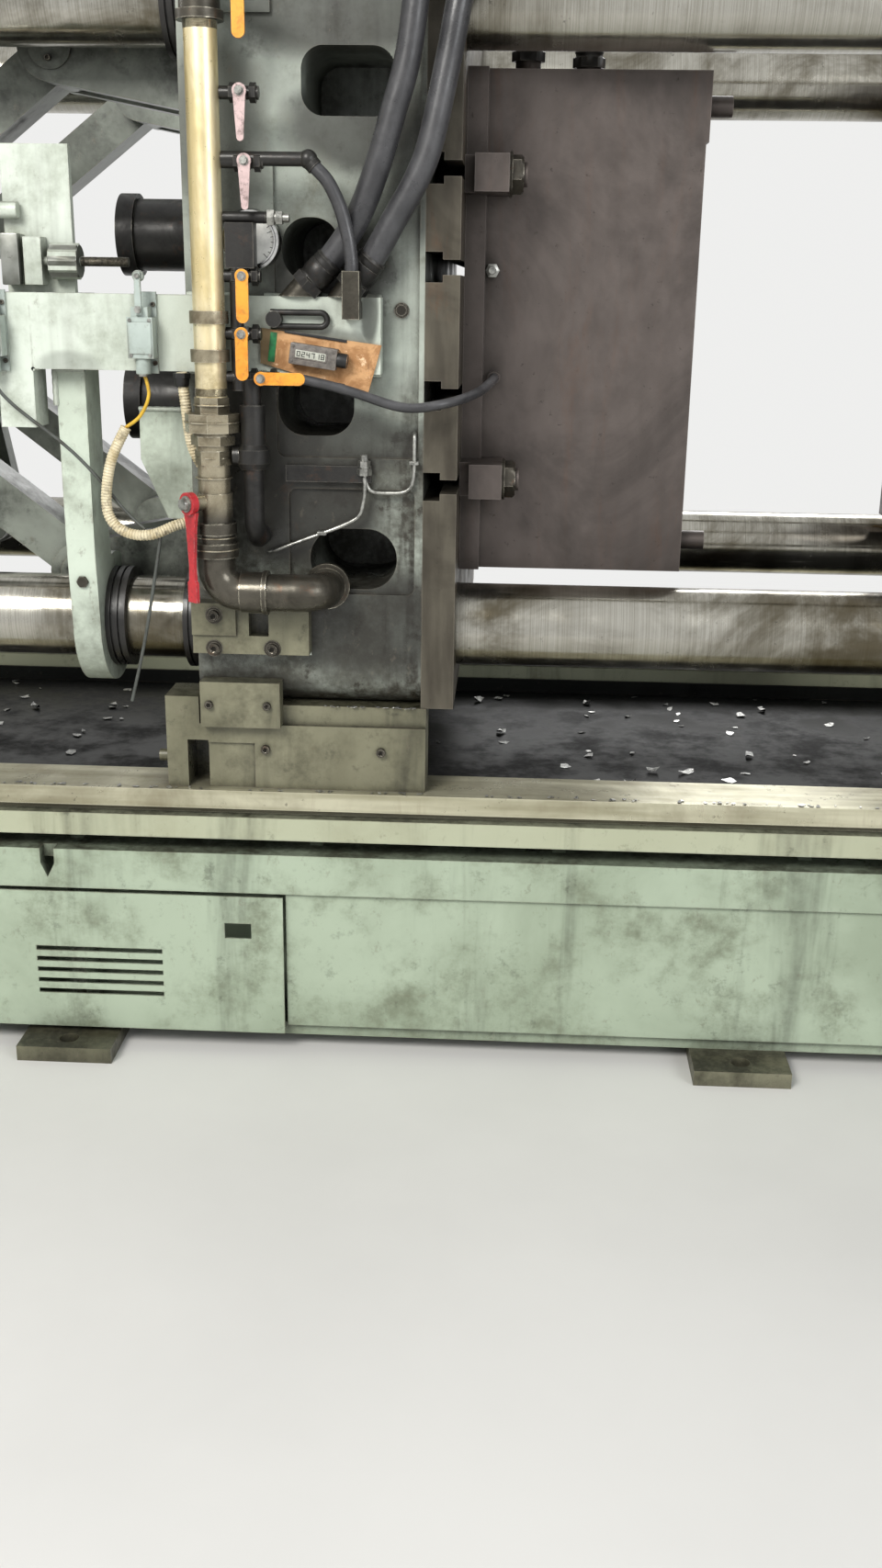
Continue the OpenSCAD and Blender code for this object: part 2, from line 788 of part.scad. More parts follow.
// The strips between the T-slots: towards is 1 where the die face points along +X
module face_strips(x, w, towards) {
    edges = concat([-w / 2 - slot_w / 2], slot_heights, [w / 2 + slot_w / 2]);
    head_x = towards > 0 ? x - 1 : x + face_t - slot_head_t;
    difference() {
        for (i = [0 : len(edges) - 2])
            block(x, x + face_t, -w / 2, w / 2,
                centre_h + edges[i] + slot_w / 2, centre_h + edges[i + 1] - slot_w / 2);
        for (h = slot_heights)
            block(head_x, head_x + slot_head_t + 1, -w / 2 - 1, w / 2 + 1,
                centre_h + h - slot_head_w / 2, centre_h + h + slot_head_w / 2);
    }
}

module tie_bars() {
    color("lightgray") at_tie_bars() {
        bar_x(bar_x0 + 6, bar_x1 - 6, 0, 0, tie_d);
        bar_x(bar_x0, bar_x1, 0, 0, tie_d - 12);
    }
}

// Nuts in front, and behind the tail platen geared nuts with the ring that turns all four
module tie_bar_nuts() {
    color("gray") {
        at_tie_bars() nut(fixed_rear_x, nut_l);
        for (turn = [0 : 90 : 270]) translate([0, 0, centre_h]) rotate([turn, 0, 0]) geared_nut();
        ring_gear();
    }
}

// A round nut with six spanner slots
module nut(x, l) {
    difference() {
        bar_x(x, x + l, 0, 0, 2 * nut_r);
        bar_x(x - 1, x + l + 1, 0, 0, tie_d + 2 * fit_gap);
        for (a = [0 : 60 : 300])
            translate([x + l / 2, 0, 0]) rotate([a, 0, 0])
                translate([-nut_slot[0] / 2, -nut_slot[1] / 2, nut_r - nut_slot[2]])
                    cube([nut_slot[0], nut_slot[1], 2 * nut_slot[2]]);
    }
}

module geared_nut() {
    translate([0, bar_y, tie_pitch / 2]) {
        nut(tail_rear_x - nut_l, nut_l - fit_gap);
        translate([tail_rear_x - gear_t - fit_gap, 0, 0]) rotate([45, 0, 0]) rotate([0, 90, 0])
            linear_extrude(gear_t) difference() {
                gear_outline(nut_teeth, 0.5);
                circle(r = nut_r - 1);
            }
    }
}

module ring_gear() {
    translate([tail_rear_x - gear_t - fit_gap, 0, centre_h]) rotate([45, 0, 0]) rotate([0, 90, 0])
        linear_extrude(gear_t) difference() {
            gear_outline(ring_teeth, 0);
            circle(r = gear_step * ring_teeth / 2 - ring_rim_w);
        }
}

// A gear with straight-sided teeth, turned by a share of one tooth
module gear_outline(teeth, shift) {
    step = 360 / teeth;
    pitch_r = gear_step * teeth / 2;
    root = pitch_r - 1.25 * gear_step;
    tip = pitch_r + 0.9 * gear_step;
    polygon([
        for (i = [0 : teeth - 1], c = [[root, -0.36], [tip, -0.13], [tip, 0.13], [root, 0.36]])
            c[0] * [cos((i + shift + c[1]) * step), sin((i + shift + c[1]) * step)]
    ]);
}

module closing_cylinder() {
    r = closing_d / 2;
    l = tail_rear_x - tail_end_x;
    shell = [
        [0, 0], [0, r + 18], [12, r + 30], [cap_l, r + 30], [cap_l, r], [l - flange_l, r],
        [l - flange_l, r + 52], [l - flange_l + 8, r + 60], [l, r + 60], [l, 0]
    ];
    color("darkseagreen") difference() {
        union() {
            turned_x(tail_end_x, 0, centre_h, shell);
            bar_z(tail_end_x + cap_l / 2, 0, centre_h + r, centre_h + r + 64, 62);
            bar_z(tail_rear_x - flange_l - 90, 0, centre_h + r - 20, centre_h + r + 50, 62);
        }
        bar_x(tail_end_x + flange_l, tail_rear_x - 40, 0, centre_h, closing_bore);
        bar_x(tail_rear_x - 41, tail_rear_x + 1, 0, centre_h, piston_rod_d + 2 * run_gap);
    }
}

module guide_rods() {
    color("lightgray") both_sides()
        bar_x(tail_wall_x - rod_hold_l, tail_pin_x + 190, guide_rod_y, centre_h, guide_rod_d);
}

// The crosshead: a body with ears for the short links and bosses on the guide rods
module crosshead() {
    x = cross_pin[0];
    color("darkseagreen") difference() {
        union() {
            flat_xz(x, centre_h, -cross_half_w, cross_half_w) {
                square([2 * cross_half_l - 24, 2 * cross_pin_h], center = true);
                for (side = [-1, 1]) translate([0, side * cross_pin_h]) circle(r = cross_half_l - 4);
            }
            both_sides()
                bar_x(x - cross_half_l - 12, x + cross_half_l + 12, guide_rod_y, centre_h, rod_boss_d);
            bar_x(x - cross_half_l, x, 0, centre_h, piston_rod_d + 30);
            up_and_down() bar_y(x, cross_pin[1], -short_out, short_out, pin_d);
        }
        both_sides() bar_x(x - 90, x + 90, guide_rod_y, centre_h, guide_rod_d + 2 * run_gap);
        bar_x(x - 2 * cross_half_l, x - cross_half_l / 2, 0, centre_h, piston_rod_d + 2 * fit_gap);
    }
}

module piston_rod() {
    color("lightgray") {
        bar_x(tail_end_x + piston_l, cross_pin[0] - cross_half_l / 2, 0, centre_h, piston_rod_d);
        bar_x(tail_end_x + piston_l, tail_end_x + 2 * piston_l, 0, centre_h, closing_bore - 2 * run_gap);
    }
}

module rear_link_upper() {
    color("silver") rear_link();
}

module rear_link_lower() {
    color("silver") mirror_down() rear_link();
}

// Both sides of the upper rear link: two cheeks on their tail pin and knee pin
module rear_link() {
    both_sides() {
        link(tail_pin, knee_pin, eye_r, link_waist, cheek_in, cheek_in + cheek_t);
        link(tail_pin, knee_pin, eye_r, link_waist, cheek2_in, cheek_out);
        for (p = [tail_pin, knee_pin]) {
            bar_y(p[0], p[1], cheek_in, cheek_out + collar_t, pin_d - 16);
            bar_y(p[0], p[1], cheek_in + cheek_t, cheek2_in, pin_d);
        }
        bar_y(third_pin[0], third_pin[1], cheek_in, cheek_in + cheek_t, 2 * eye_r);
    }
}

module front_link_upper() {
    color("silver") front_link();
}

module front_link_lower() {
    color("silver") mirror_down() front_link();
}

module front_link() {
    both_sides() difference() {
        link(knee_pin, platen_pin, eye_r, link_waist, front_in, front_out);
        bar_y(knee_pin[0], knee_pin[1], front_in - 1, front_out + 1, pin_d + 2 * run_gap);
    }
}

module short_link_upper() {
    color("silver") short_link();
}

module short_link_lower() {
    color("silver") mirror_down() short_link();
}

module short_link() {
    both_sides() difference() {
        link(cross_pin, third_pin, short_eye_r, link_waist - 8, short_in, short_out);
        bar_y(cross_pin[0], cross_pin[1], short_in - 1, short_out + 1, pin_d + 2 * run_gap);
    }
}

module moving_platen() {
    color("darkseagreen") difference() {
        cross_plate(platen_x, face_x, platen_w, platen_r);
        tie_bar_bores(platen_x, face_x, tie_d + 2 * run_gap);
        both_sides() {
            for (w = platen_windows) platen_window(w);
            side_pocket(pocket_upper);
            side_pocket(pocket_lower);
            side_pocket(pocket_rear);
        }
    }
}

// A cored window in the platen's side
module platen_window(w) {
    flat_xz(face_x - w[0], centre_h + w[1], side_y - window_deep, side_y + 1) round_rect(w[2], w[3], w[4]);
}

// A shallow pocket that leaves a raised frame on the platen's side
module side_pocket(p) {
    flat_xz(platen_x + (p[0] + p[1]) / 2, centre_h + (p[2] + p[3]) / 2, side_y - pocket_t, side_y + 1)
        round_rect(p[1] - p[0], p[3] - p[2], pocket_r);
}

// Pairs of ears on the platen's rear face that hold the front links
module platen_brackets() {
    color("silver") up_and_down() both_sides() {
        for (y = [cheek_in, cheek2_in]) platen_ear(y);
        bar_y(platen_pin[0], platen_pin[1], cheek_out, cheek_out + collar_t, pin_d);
    }
}

module platen_ear(y) {
    outline = [[0, -eye_r], [platen_ear_l, -eye_r - 50], [platen_ear_l, eye_r + 40], [0, eye_r]];
    flat_xz(platen_pin[0], platen_pin[1], y, y + cheek_t) {
        circle(r = eye_r);
        polygon(outline);
    }
}

module moving_face_strips() {
    color("tan") difference() {
        face_strips(face_x, platen_w, 1);
        tie_bar_bores(face_x, die_face_x, tie_d + 2 * run_gap);
    }
}

// The platen's feet on the rails, with the blocks that hold them on its sides
module platen_shoes() {
    z1 = centre_h - platen_w / 2;
    color("darkseagreen") both_sides() {
        difference() {
            union() {
                block(shoe_x0, face_x + 10, rail_out - rail_w + 10, shoe_out, rail_top + fit_gap, z1);
                block(shoe_x0, platen_x, rail_out - rail_w + 10, shoe_out, z1 - 1, z1 + 15);
            }
            shoe_notches();
        }
        foot_block();
        side_block(low_box, side_y, beam_out);
        bar_x(shoe_x0 - 22, shoe_x0, shoe_out - 40, rail_top + 47, 22);
    }
}

// The notch in a shoe and the step along its face
module shoe_notches() {
    x = platen_x - 23;
    n = shoe_notch;
    block(x, x + n[0], shoe_out - n[1], shoe_out + 1, rail_top - 1, rail_top + n[2]);
    block(platen_x, platen_x + 100, shoe_out - 6, shoe_out + 1, rail_top - 1, rail_top + shoe_notch[2] - 4);
    block(platen_x, face_x + 11, shoe_out - 12, shoe_out + 1, rail_top + 120, centre_h - platen_w / 2 + 1);
}

// The plate on the platen's side above a shoe: a raised pad and a square hole
module foot_block() {
    difference() {
        union() {
            side_block(foot_plate, side_y, beam_out - 6);
            side_block(foot_pad, side_y, beam_out);
        }
        side_block(foot_hole, side_y + 4, beam_out + 1);
    }
}

module tie_bar_wipers() {
    x = guide_plate_x + guide_plate_t / 2;
    color("black") {
        at_tie_bars() wiper(platen_x - wiper_l, wiper_d);
        both_sides() translate([0, bar_y, centre_h - tie_pitch / 2]) wiper(x, wiper_d);
    }
}

// A ring with two grooves that wipes a tie bar, from x on
module wiper(x, d) {
    r = d / 2;
    difference() {
        turned_x(x, 0, 0, [
            [0, tie_d / 2 - 1], [0, r], [9, r], [9, r - 5], [13, r - 5], [13, r], [22, r], [22, r - 5],
            [26, r - 5], [26, r], [wiper_l, r], [wiper_l, tie_d / 2 - 1]
        ]);
        bar_x(x - 1, x + wiper_l + 1, 0, 0, tie_d + 2 * run_gap);
    }
}

module ejector_cylinders() {
    color("dimgray") up_and_down() {
        bar_x(platen_x - 230, platen_x, 0, centre_h + 165, 140);
        bar_x(platen_x - 260, platen_x - 225, 0, centre_h + 165, 160);
        bar_z(platen_x - 60, 0, centre_h + 225, centre_h + 262, 44);
    }
}

module side_beams() {
    color("darkseagreen") both_sides() block(beam_x0, beam_x1, side_y, beam_out, beam_z, beam_top);
}

// The plates that hang from the beams and guide them on the lower tie bars; each is open
// on its inner side, where the links pass
module guide_plates() {
    z0 = centre_h - tie_pitch / 2;
    x0 = guide_plate_x - guide_plate_t / 2;
    x1 = guide_plate_x + guide_plate_t / 2;
    r = guide_ring_r;
    color("darkseagreen") both_sides() {
        difference() {
            translate([x0, 0, 0]) rotate([90, 0, 90]) linear_extrude(guide_plate_t) {
                translate([bar_y, z0]) circle(r = r);
                polygon([
                    [bar_y, z0], [bar_y + r, z0], [side_y, z0 + 160], [side_y, beam_top],
                    [side_y - 90, beam_top], [side_y - 90, z0 + 220]
                ]);
            }
            bar_x(x0 - 1, x1 + 1, bar_y, z0, tie_d + 2 * run_gap);
            block(x0 - 1, x1 + 1, bar_y - 2 * r, bar_y - 50, z0 - 2 * r, z0 + 2 * r);
        }
        flat_xz(platen_x, centre_h, side_y - 60 - gusset_t, side_y - 60) polygon(gusset_outline);
    }
}

// Two limit switches on the beam, each on its channel, with a roller lever and a gland
module limit_switch() {
    back = -beam_out - switch_plate_t;
    front = back - switch_body_t;
    z0 = centre_h + switch_z0;
    z1 = centre_h + switch_z1;
    color("gray") for (x = [platen_x - 62, platen_x - 314]) {
        block(x - 14, x + 22, back, -beam_out, beam_z - 4, beam_top + 4);
        block(x - switch_w / 2, x + switch_w / 2, front, back, z0, z1);
        block(x - switch_w / 3, x + switch_w / 3, front + 2, back - 2, z1, z1 + switch_neck_h);
        bar_z(x, front + switch_body_t / 2, z0 - switch_gland_l, z0, switch_gland_d);
        block(x - 5, x + 5, front - 4, front + 2, z1 + 4, z1 + switch_arm_l + 4);
        bar_y(x, z1 + switch_arm_l - 2, front + 2, front + 12, switch_roller_d);
    }
}

module brass_pipe() {
    color("khaki") bar_z(pipe_x, pipe_y, pipe_z0, pipe_z1, pipe_d);
}

// The iron fittings at both ends of the upright pipe, the clamps and the hoses' sockets
module pipe_fittings() {
    color("dimgray") {
        union_stack();
        lower_bends();
        upper_bend();
        at_valve_stem() cylinder(h = stem_l, d = 26);
        for (z = [centre_h - 40, centre_h + 20]) pipe_clamp(z);
        for (i = [0 : 1]) beam_socket(hoses[i][1]);
        side_block([20, 58, -336, -276], -side_y - 32, -side_y);
        side_block([272, 300, 20, 94], -beam_out - 54, -beam_out - 18);
        side_block([272, 300, 20, 48], -beam_out - 18, -beam_out);
    }
}

// The union and the ball valve below the upright pipe
module union_stack() {
    n = len(union_rings);
    for (i = [0 : n - 1]) {
        ring = union_rings[i];
        z0 = i < n - 1 ? centre_h + union_rings[i + 1][0] : stub_z + elbow_r;
        translate([pipe_x, pipe_y, z0]) cylinder(h = centre_h + ring[0] - z0, d = ring[1], $fn = ring[2]);
    }
}

// The bend below the valve, its collar and the bend that leads into the platen
module lower_bends() {
    end_x = pipe_x + elbow_r + stub_l;
    translate([pipe_x + elbow_r, pipe_y, stub_z + elbow_r]) quarter_bend(elbow_r, elbow_d);
    bar_x(pipe_x + elbow_r, end_x, pipe_y, stub_z, elbow_d);
    bar_x(pipe_x + elbow_r, pipe_x + elbow_r + 44, pipe_y, stub_z, elbow_d + 6);
    bar_x(pipe_x + elbow_r + 38, pipe_x + elbow_r + 46, pipe_y, stub_z, elbow_d + 12);
    translate([end_x, pipe_y + elbow_r, stub_z]) quarter_bend_flat(elbow_r, elbow_d);
    bar_y(end_x + elbow_r, stub_z, pipe_y + elbow_r, -side_y, elbow_d);
    bar_y(end_x + elbow_r, stub_z, -side_y - 12, -side_y, elbow_d + 16);
}

// A quarter bend of pipe that turns from +X to +Y
module quarter_bend_flat(r, d) {
    rotate([0, 0, -90]) rotate_extrude(angle = 90, $fn = 48) translate([r, 0]) circle(d = d);
}

// The bend above the pipe, which leads into the platen
module upper_bend() {
    z = pipe_z1 + 110;
    bar_z(pipe_x, pipe_y, pipe_z1, z, elbow_d);
    bar_z(pipe_x, pipe_y, pipe_z1, pipe_z1 + 14, elbow_d + 10);
    translate([pipe_x, pipe_y + elbow_r, z]) rotate([0, 90, 0]) rotate([0, 0, 180])
        rotate_extrude(angle = 90, $fn = 48) translate([elbow_r, 0]) circle(d = elbow_d);
    bar_y(pipe_x, z + elbow_r, pipe_y + elbow_r, -side_y, elbow_d);
}

// Places the children at the ball valve, with their Z along the stem and their Y up
module at_valve_stem() {
    translate([pipe_x, pipe_y, valve_z]) rotate([0, 0, -stem_turn]) rotate([90, 0, 0]) children();
}

// The lever of the ball valve, hanging straight down, on a stem that points out to the operator
module valve_lever() {
    n = len(lever_shape);
    left = [for (p = lever_shape) [-p[1], p[0]]];
    right = [for (i = [n - 1 : -1 : 0]) [lever_shape[i][1], lever_shape[i][0]]];
    color("firebrick") at_valve_stem() translate([0, 0, stem_l + fit_gap]) {
        cylinder(h = lever_t, d = lever_head_d);
        linear_extrude(lever_t / 2) polygon(concat(left, right));
    }
}

// A clamp round the upright pipe, on the beam
module pipe_clamp(z) {
    difference() {
        union() {
            bar_z(pipe_x, pipe_y, z - 10, z + 10, pipe_d + 12);
            block(pipe_x - 14, pipe_x + 14, pipe_y, -beam_out, z - 10, z + 10);
        }
        bar_z(pipe_x, pipe_y, z - 11, z + 11, pipe_d + 2 * fit_gap);
    }
}

// The collar that a large hose comes out of, cut off where it stands on the beam
module beam_socket(route) {
    difference() {
        hose_socket(route, 60, hose_d + 4);
        block(beam_x0, beam_x1, -beam_out - 60, 0, beam_z - 60, beam_top);
    }
}

// A collar of the given length behind the start of a hose
module hose_socket(route, back, d) {
    way = route[1] - route[0];
    translate([platen_x, 0, centre_h] + route[0]) rotate([0, acos(way[2] / norm(way)), atan2(way[1], way[0])])
        translate([0, 0, -back]) rotate([0, 0, 90]) cylinder(h = back, d = d);
}

// The small valves beside the pipe, with their tubes, a gauge and the black column below
module valve_manifold() {
    x0 = pipe_x + pipe_d / 2 + fit_gap;
    x1 = pipe_x + elbow_d / 2 + fit_gap;
    color("gray") {
        for (v = small_valves)
            small_valve(centre_h + v[1] > pipe_z1 ? x1 : x0, platen_x + v[0], centre_h + v[1], v[2]);
        bar_z(platen_x + 99, valve_y, centre_h - 95, centre_h + 96, tube_d);
        block(platen_x + 84, platen_x + 130, valve_y - 12, valve_y + 22, centre_h + 96, centre_h + 165);
        bar_x(x0, platen_x + 218, valve_y, centre_h + 260, tube_d);
        translate([platen_x + 218, valve_y, centre_h + 260]) sphere(d = tube_d + 8);
        hose_socket(hoses[2][1], 14, tube_d + 4);
        bar_x(x0, platen_x + 150, valve_y, centre_h + 173, tube_d - 4);
        bar_y(platen_x + 116, centre_h + 140, -side_y - 20, -side_y, 94);
        u_handle(platen_x + 150, centre_h + 18, -beam_out - 10);
        black_column();
    }
}

// A small ball valve: a body across, two nuts and the stem that its lever turns on
module small_valve(x0, x, z, stem) {
    bar_x(x0, x + 26, valve_y, z, small_valve_d);
    for (s = [x - 10 - small_nut_t, x + 12])
        translate([s, valve_y, z]) rotate([0, 90, 0]) cylinder(h = small_nut_t, d = small_nut_d, $fn = 6);
    bar_y(x, z, valve_y - stem, valve_y, small_stem_d);
}

// The lever of small valve number i, on the end of its stem
module small_lever(i) {
    v = small_valves[i - 1];
    end = v[4] / 2 - small_lever_l;
    translate([platen_x + v[0], valve_y - v[2] - fit_gap, centre_h + v[1]]) rotate([0, -v[3], 0])
        rotate([90, 0, 0]) linear_extrude(small_lever_t) {
            circle(d = small_lever_w + 2);
            translate([0, end]) circle(d = v[4]);
            polygon([[-small_lever_w / 2, 0], [-v[4] / 2, end], [v[4] / 2, end], [small_lever_w / 2, 0]]);
        }
}

module small_lever_1() {
    color("orange") small_lever(1);
}

module small_lever_2() {
    color("mistyrose") small_lever(2);
}

module small_lever_3() {
    color("mistyrose") small_lever(3);
}

module small_lever_4() {
    color("orange") small_lever(4);
}

module small_lever_5() {
    color("orange") small_lever(5);
}

module small_lever_6() {
    color("orange") small_lever(6);
}

// A handle of bent rod that holds the board
module u_handle(x, z, y) {
    l = 82;
    r = 11;
    d = 10;
    for (s = [-1, 1]) bar_x(x, x + l, y, z + s * r, d);
    translate([x + l, y, z]) rotate([90, 90, 0])
        rotate_extrude(angle = 180, $fn = 48) translate([r, 0]) circle(d = d);
    bar_y(x + 6, z, y - 12, -beam_out, 26);
}

// The column of black fittings below the small valves, its branch to the union and its foot
module black_column() {
    foot_z = centre_h - 300;
    bar_z(column_x, valve_y, centre_h - 120, centre_h - 76, column_d - 12);
    turned_z(column_x, valve_y, centre_h - 222, [
        [0, 0], [0, 22], [10, 27], [32, 27], [40, column_d / 2], [104, column_d / 2], [104, 0]
    ]);
    bar_x(pipe_x + 33 + fit_gap, column_x, valve_y, centre_h - 200, 34);
    bar_z(column_x, valve_y, foot_z, centre_h - 222, 34);
    translate([column_x, valve_y + elbow_r, foot_z]) rotate([0, 90, 0]) rotate([0, 0, -90])
        rotate_extrude(angle = 90, $fn = 48) translate([elbow_r, 0]) circle(d = 34);
    bar_y(column_x, foot_z - elbow_r, valve_y + elbow_r, -side_y, 34);
    side_block([165, 312, -249, -221], -side_y - 14, -side_y);
}

// The board that hangs beside the valves, with its counter
module counter_board() {
    color("burlywood") {
        flat_xz(platen_x, centre_h, -beam_out - 6, -beam_out)
            polygon([[132, 4], [332, -21], [309, -100], [131, -52]]);
        translate([platen_x + 186, -beam_out - 6, centre_h - 18]) rotate([0, 8, 0]) {
            translate([0, -24, -32]) cube([76, 24, 32]);
            translate([76, -12, -16]) rotate([0, 90, 0]) cylinder(h = 18, d = 22);
        }
    }
}

module switch_conduit() {
    color("beige") for (c = conduits) cable(c[0], c[1]);
}

module die_hoses() {
    color("dimgray") for (h = hoses) cable(h[0], h[1]);
}

// The plates behind the beam's end, with the rod, block, nut and screw of the stroke stop
module beam_end_box() {
    plate_y = -side_y + stop_plate_in;
    color("darkseagreen") {
        block(beam_x0 - stop_box_l, beam_x0, -beam_out, -side_y + 30, beam_z - 96, beam_z);
        block(beam_x0 - stop_box_l, beam_x0, -beam_out, -side_y, beam_z, beam_top);
        side_block([-312, -197, 54, 288], plate_y, plate_y + stop_plate_t);
        side_block([-330, -254, 30, 54], -side_y, plate_y + stop_plate_t);
        side_block([-308, -279, 66, 146], -side_y + 18, plate_y);
        side_block([-272, -242, 66, 142], -side_y + 6, plate_y);
        bar_x(platen_x - 380, platen_x - 283, -side_y + 28, centre_h + 184, stop_rod_d);
        bar_x(platen_x - 242, platen_x - 99, -side_y + 22, centre_h + 104, stop_screw_d);
        translate([platen_x - 229, -side_y + 22, centre_h + 104]) rotate([0, 90, 0])
            cylinder(h = stop_nut_l, d = stop_nut_d, $fn = 6);
    }
}

module moving_die() {
    color("dimgray") {
        block(die_face_x, die_end_x, -die_w / 2, die_w / 2, die_seam_z, centre_h + die_w / 2);
        block(die_face_x, die_end_x - die_step, -die_w / 2, die_w / 2, centre_h - die_w / 2, die_seam_z);
        die_foot(die_face_x);
        at_guide_pins() bar_x(die_end_x - die_step - 1, die_end_x + guide_pin_l, 0, 0, guide_pin_d);
        for (i = [0 : 1]) die_top_socket(hoses[i][1]);
        hose_end = hoses[3][1][len(hoses[3][1]) - 1];
        bar_y(platen_x + hose_end[0], centre_h + hose_end[2], hose_end[1], 1 - die_w / 2, 22);
    }
}

// The socket on top of the moving die that a large hose ends in
module die_top_socket(route) {
    p = route[len(route) - 1];
    bar_z(platen_x + p[0], p[1], centre_h + die_w / 2 - 1, centre_h + p[2], hose_d + 2);
}

// The foot of a die, which the clamps hold
module die_foot(x) {
    w = die_w / 2 + die_foot_w;
    block(x, x + die_foot_t, -w, w, centre_h - die_w / 2, centre_h + die_w / 2);
}

// Places the children at the four guide pins of the dies
module at_guide_pins() {
    inset = die_w / 2 - guide_pin_inset;
    for (side = [-1, 1], level = [-1, 1])
        translate([0, side * inset, centre_h + level * inset]) children();
}

// The fixed die, with the round cavity that the casting is made in
module fixed_die() {
    h = die_w / 2;
    color("dimgray") difference() {
        union() {
            block(fixed_die_x, fixed_face_x, -h, h, centre_h - h, centre_h + h);
            die_foot(fixed_face_x - die_foot_t);
        }
        at_guide_pins()
            bar_x(fixed_die_x - 1, fixed_die_x + guide_pin_l + 20, 0, 0, guide_pin_d + 2 * pin_hole_gap);
        turned_x(fixed_die_x - 1, 0, centre_h, [
            [0, 0], [0, cavity_d / 2 + 6], [cavity_t / 2, cavity_d / 2],
            [cavity_t, cavity_d / 3], [cavity_t + 10, 0]
        ]);
        bar_x(fixed_die_x + 5, fixed_face_x + 1, 0, shot_z, sleeve_bore);
    }
}

// The clamps that hold the dies in the outer T-slots, two on each side of a die
module die_clamps_moving() {
    color("dimgray") both_sides() up_and_down() die_clamp(die_face_x, 1);
}

module die_clamps_fixed() {
    color("dimgray") both_sides() up_and_down() die_clamp(fixed_face_x, -1);
}

// A clamp beside the die's foot: towards is 1 where the die face points along +X
module die_clamp(x, towards) {
    z = centre_h + slot_heights[3];
    y = die_w / 2 + die_foot_w + clamp_l / 2;
    t = die_foot_t + clamp_t;
    translate([x, y, z]) mirror([towards > 0 ? 0 : 1, 0, 0]) difference() {
        union() {
            translate([0, -clamp_l / 2, -clamp_w / 2]) cube([t, clamp_l, clamp_w]);
            translate([die_foot_t, -clamp_l / 2 - die_foot_w + fit_gap, -clamp_w / 2])
                cube([clamp_t, die_foot_w, clamp_w]);
            bar_x(t - 1, t + clamp_bolt_l, 0, 0, clamp_bolt_d);
        }
        translate([-1, clamp_l / 2 - 40, -clamp_w / 2 - 1]) cube([die_foot_t / 2 + 1, 41, clamp_w + 2]);
    }
}

// The sleeve in segments: the tube, the trough's bottom and two walls round the pour hole, and the end ring
module shot_sleeve() {
    pour_x1 = pour_x + pour_l;
    r = sleeve_d / 2;
    y = sleeve_bore / 2 - 5;
    color("silver") {
        sleeve_segment(fixed_face_x, pour_x - fit_gap) {
            bar_x(fixed_face_x, pour_x, 0, shot_z, sleeve_d);
            bar_x(fixed_rear_x, fixed_rear_x + 30, 0, shot_z, sleeve_d + 50);
        }
        sleeve_segment(pour_x1 + fit_gap, pour_x1 + 40) bar_x(pour_x1, pour_x1 + 40, 0, shot_z, sleeve_d);
        sleeve_segment(pour_x, pour_x1) difference() {
            bar_x(pour_x, pour_x1, 0, shot_z, sleeve_d);
            block(pour_x - 1, pour_x1 + 1, -r - 1, r + 1, shot_z - fit_gap, shot_z + r + 1);
        }
        both_sides() sleeve_segment(pour_x, pour_x1) intersection() {
            bar_x(pour_x, pour_x1, 0, shot_z, sleeve_d);
            block(pour_x - 1, pour_x1 + 1, y, r + 1, shot_z, shot_z + r + 1);
        }
    }
}

// The part of the children between x0 and x1, with the sleeve's bore
module sleeve_segment(x0, x1) {
    intersection() {
        difference() {
            union() children();
            bar_x(x0 - 1, x1 + 1, 0, shot_z, sleeve_bore);
        }
        block(x0, x1, -sleeve_d, sleeve_d, shot_z - sleeve_d, shot_z + sleeve_d);
    }
}

// The two side plates between the fixed platen and the shot cylinder, and the cylinder's pedestal
module shot_frame() {
    h = frame_h / 2;
    color("darkseagreen") {
        both_sides() difference() {
            block(fixed_rear_x, shot_cyl_x, frame_y, frame_y + frame_t, shot_z - h, shot_z + h);
            flat_xz((fixed_rear_x + shot_cyl_x) / 2, shot_z, frame_y - 1, frame_y + frame_t + 1)
                round_rect(frame_window[0], frame_window[1], 50);
        }
        pedestal();
    }
}

// The pedestal under the shot cylinder, narrower towards its top
module pedestal() {
    z1 = shot_z - shot_cyl_d / 2 - fit_gap;
    translate([pedestal_x, 0, 0]) rotate([90, 0, 90]) linear_extrude(pedestal_l)
        polygon([
            [-pedestal_w / 2, base_h], [pedestal_w / 2, base_h], [pedestal_w / 2, base_h + 40],
            [pedestal_w / 3, base_h + 140], [pedestal_w / 3, z1], [-pedestal_w / 3, z1],
            [-pedestal_w / 3, base_h + 140], [-pedestal_w / 2, base_h + 40]
        ]);
}

module shot_cylinder() {
    r = shot_cyl_d / 2;
    l = shot_cyl_l;
    w = frame_y + frame_t;
    color("darkseagreen") {
        difference() {
            block(shot_cyl_x, shot_cyl_x + 60, -w, w, shot_z - frame_h / 2, shot_z + frame_h / 2);
            bar_x(shot_cyl_x - 1, shot_cyl_x + 20, 0, shot_z, sleeve_bore + 40);
        }
        turned_x(shot_cyl_x, 0, shot_z, [
            [50, 0], [50, r], [l - 240, r], [l - 240, r + 22], [l - 180, r + 22], [l - 180, r - 10],
            [l - 90, r - 10], [l - 80, r + 30], [l - 12, r + 30], [l, r + 18], [l, 0]
        ]);
    }
}

module plunger() {
    r = sleeve_bore / 2 - 1;
    tip_x = pour_x + pour_l + 5;
    l = shot_cyl_x + 20 - tip_x;
    color("silver") turned_x(tip_x, 0, shot_z, [
        [0, 0], [0, r - 4], [4, r], [60, r], [60, r - 10], [l - 220, r - 10], [l - 220, 60], [l - 214, 66],
        [l - 126, 66], [l - 120, 60], [l - 120, 48], [l, 48], [l, 0]
    ]);
}

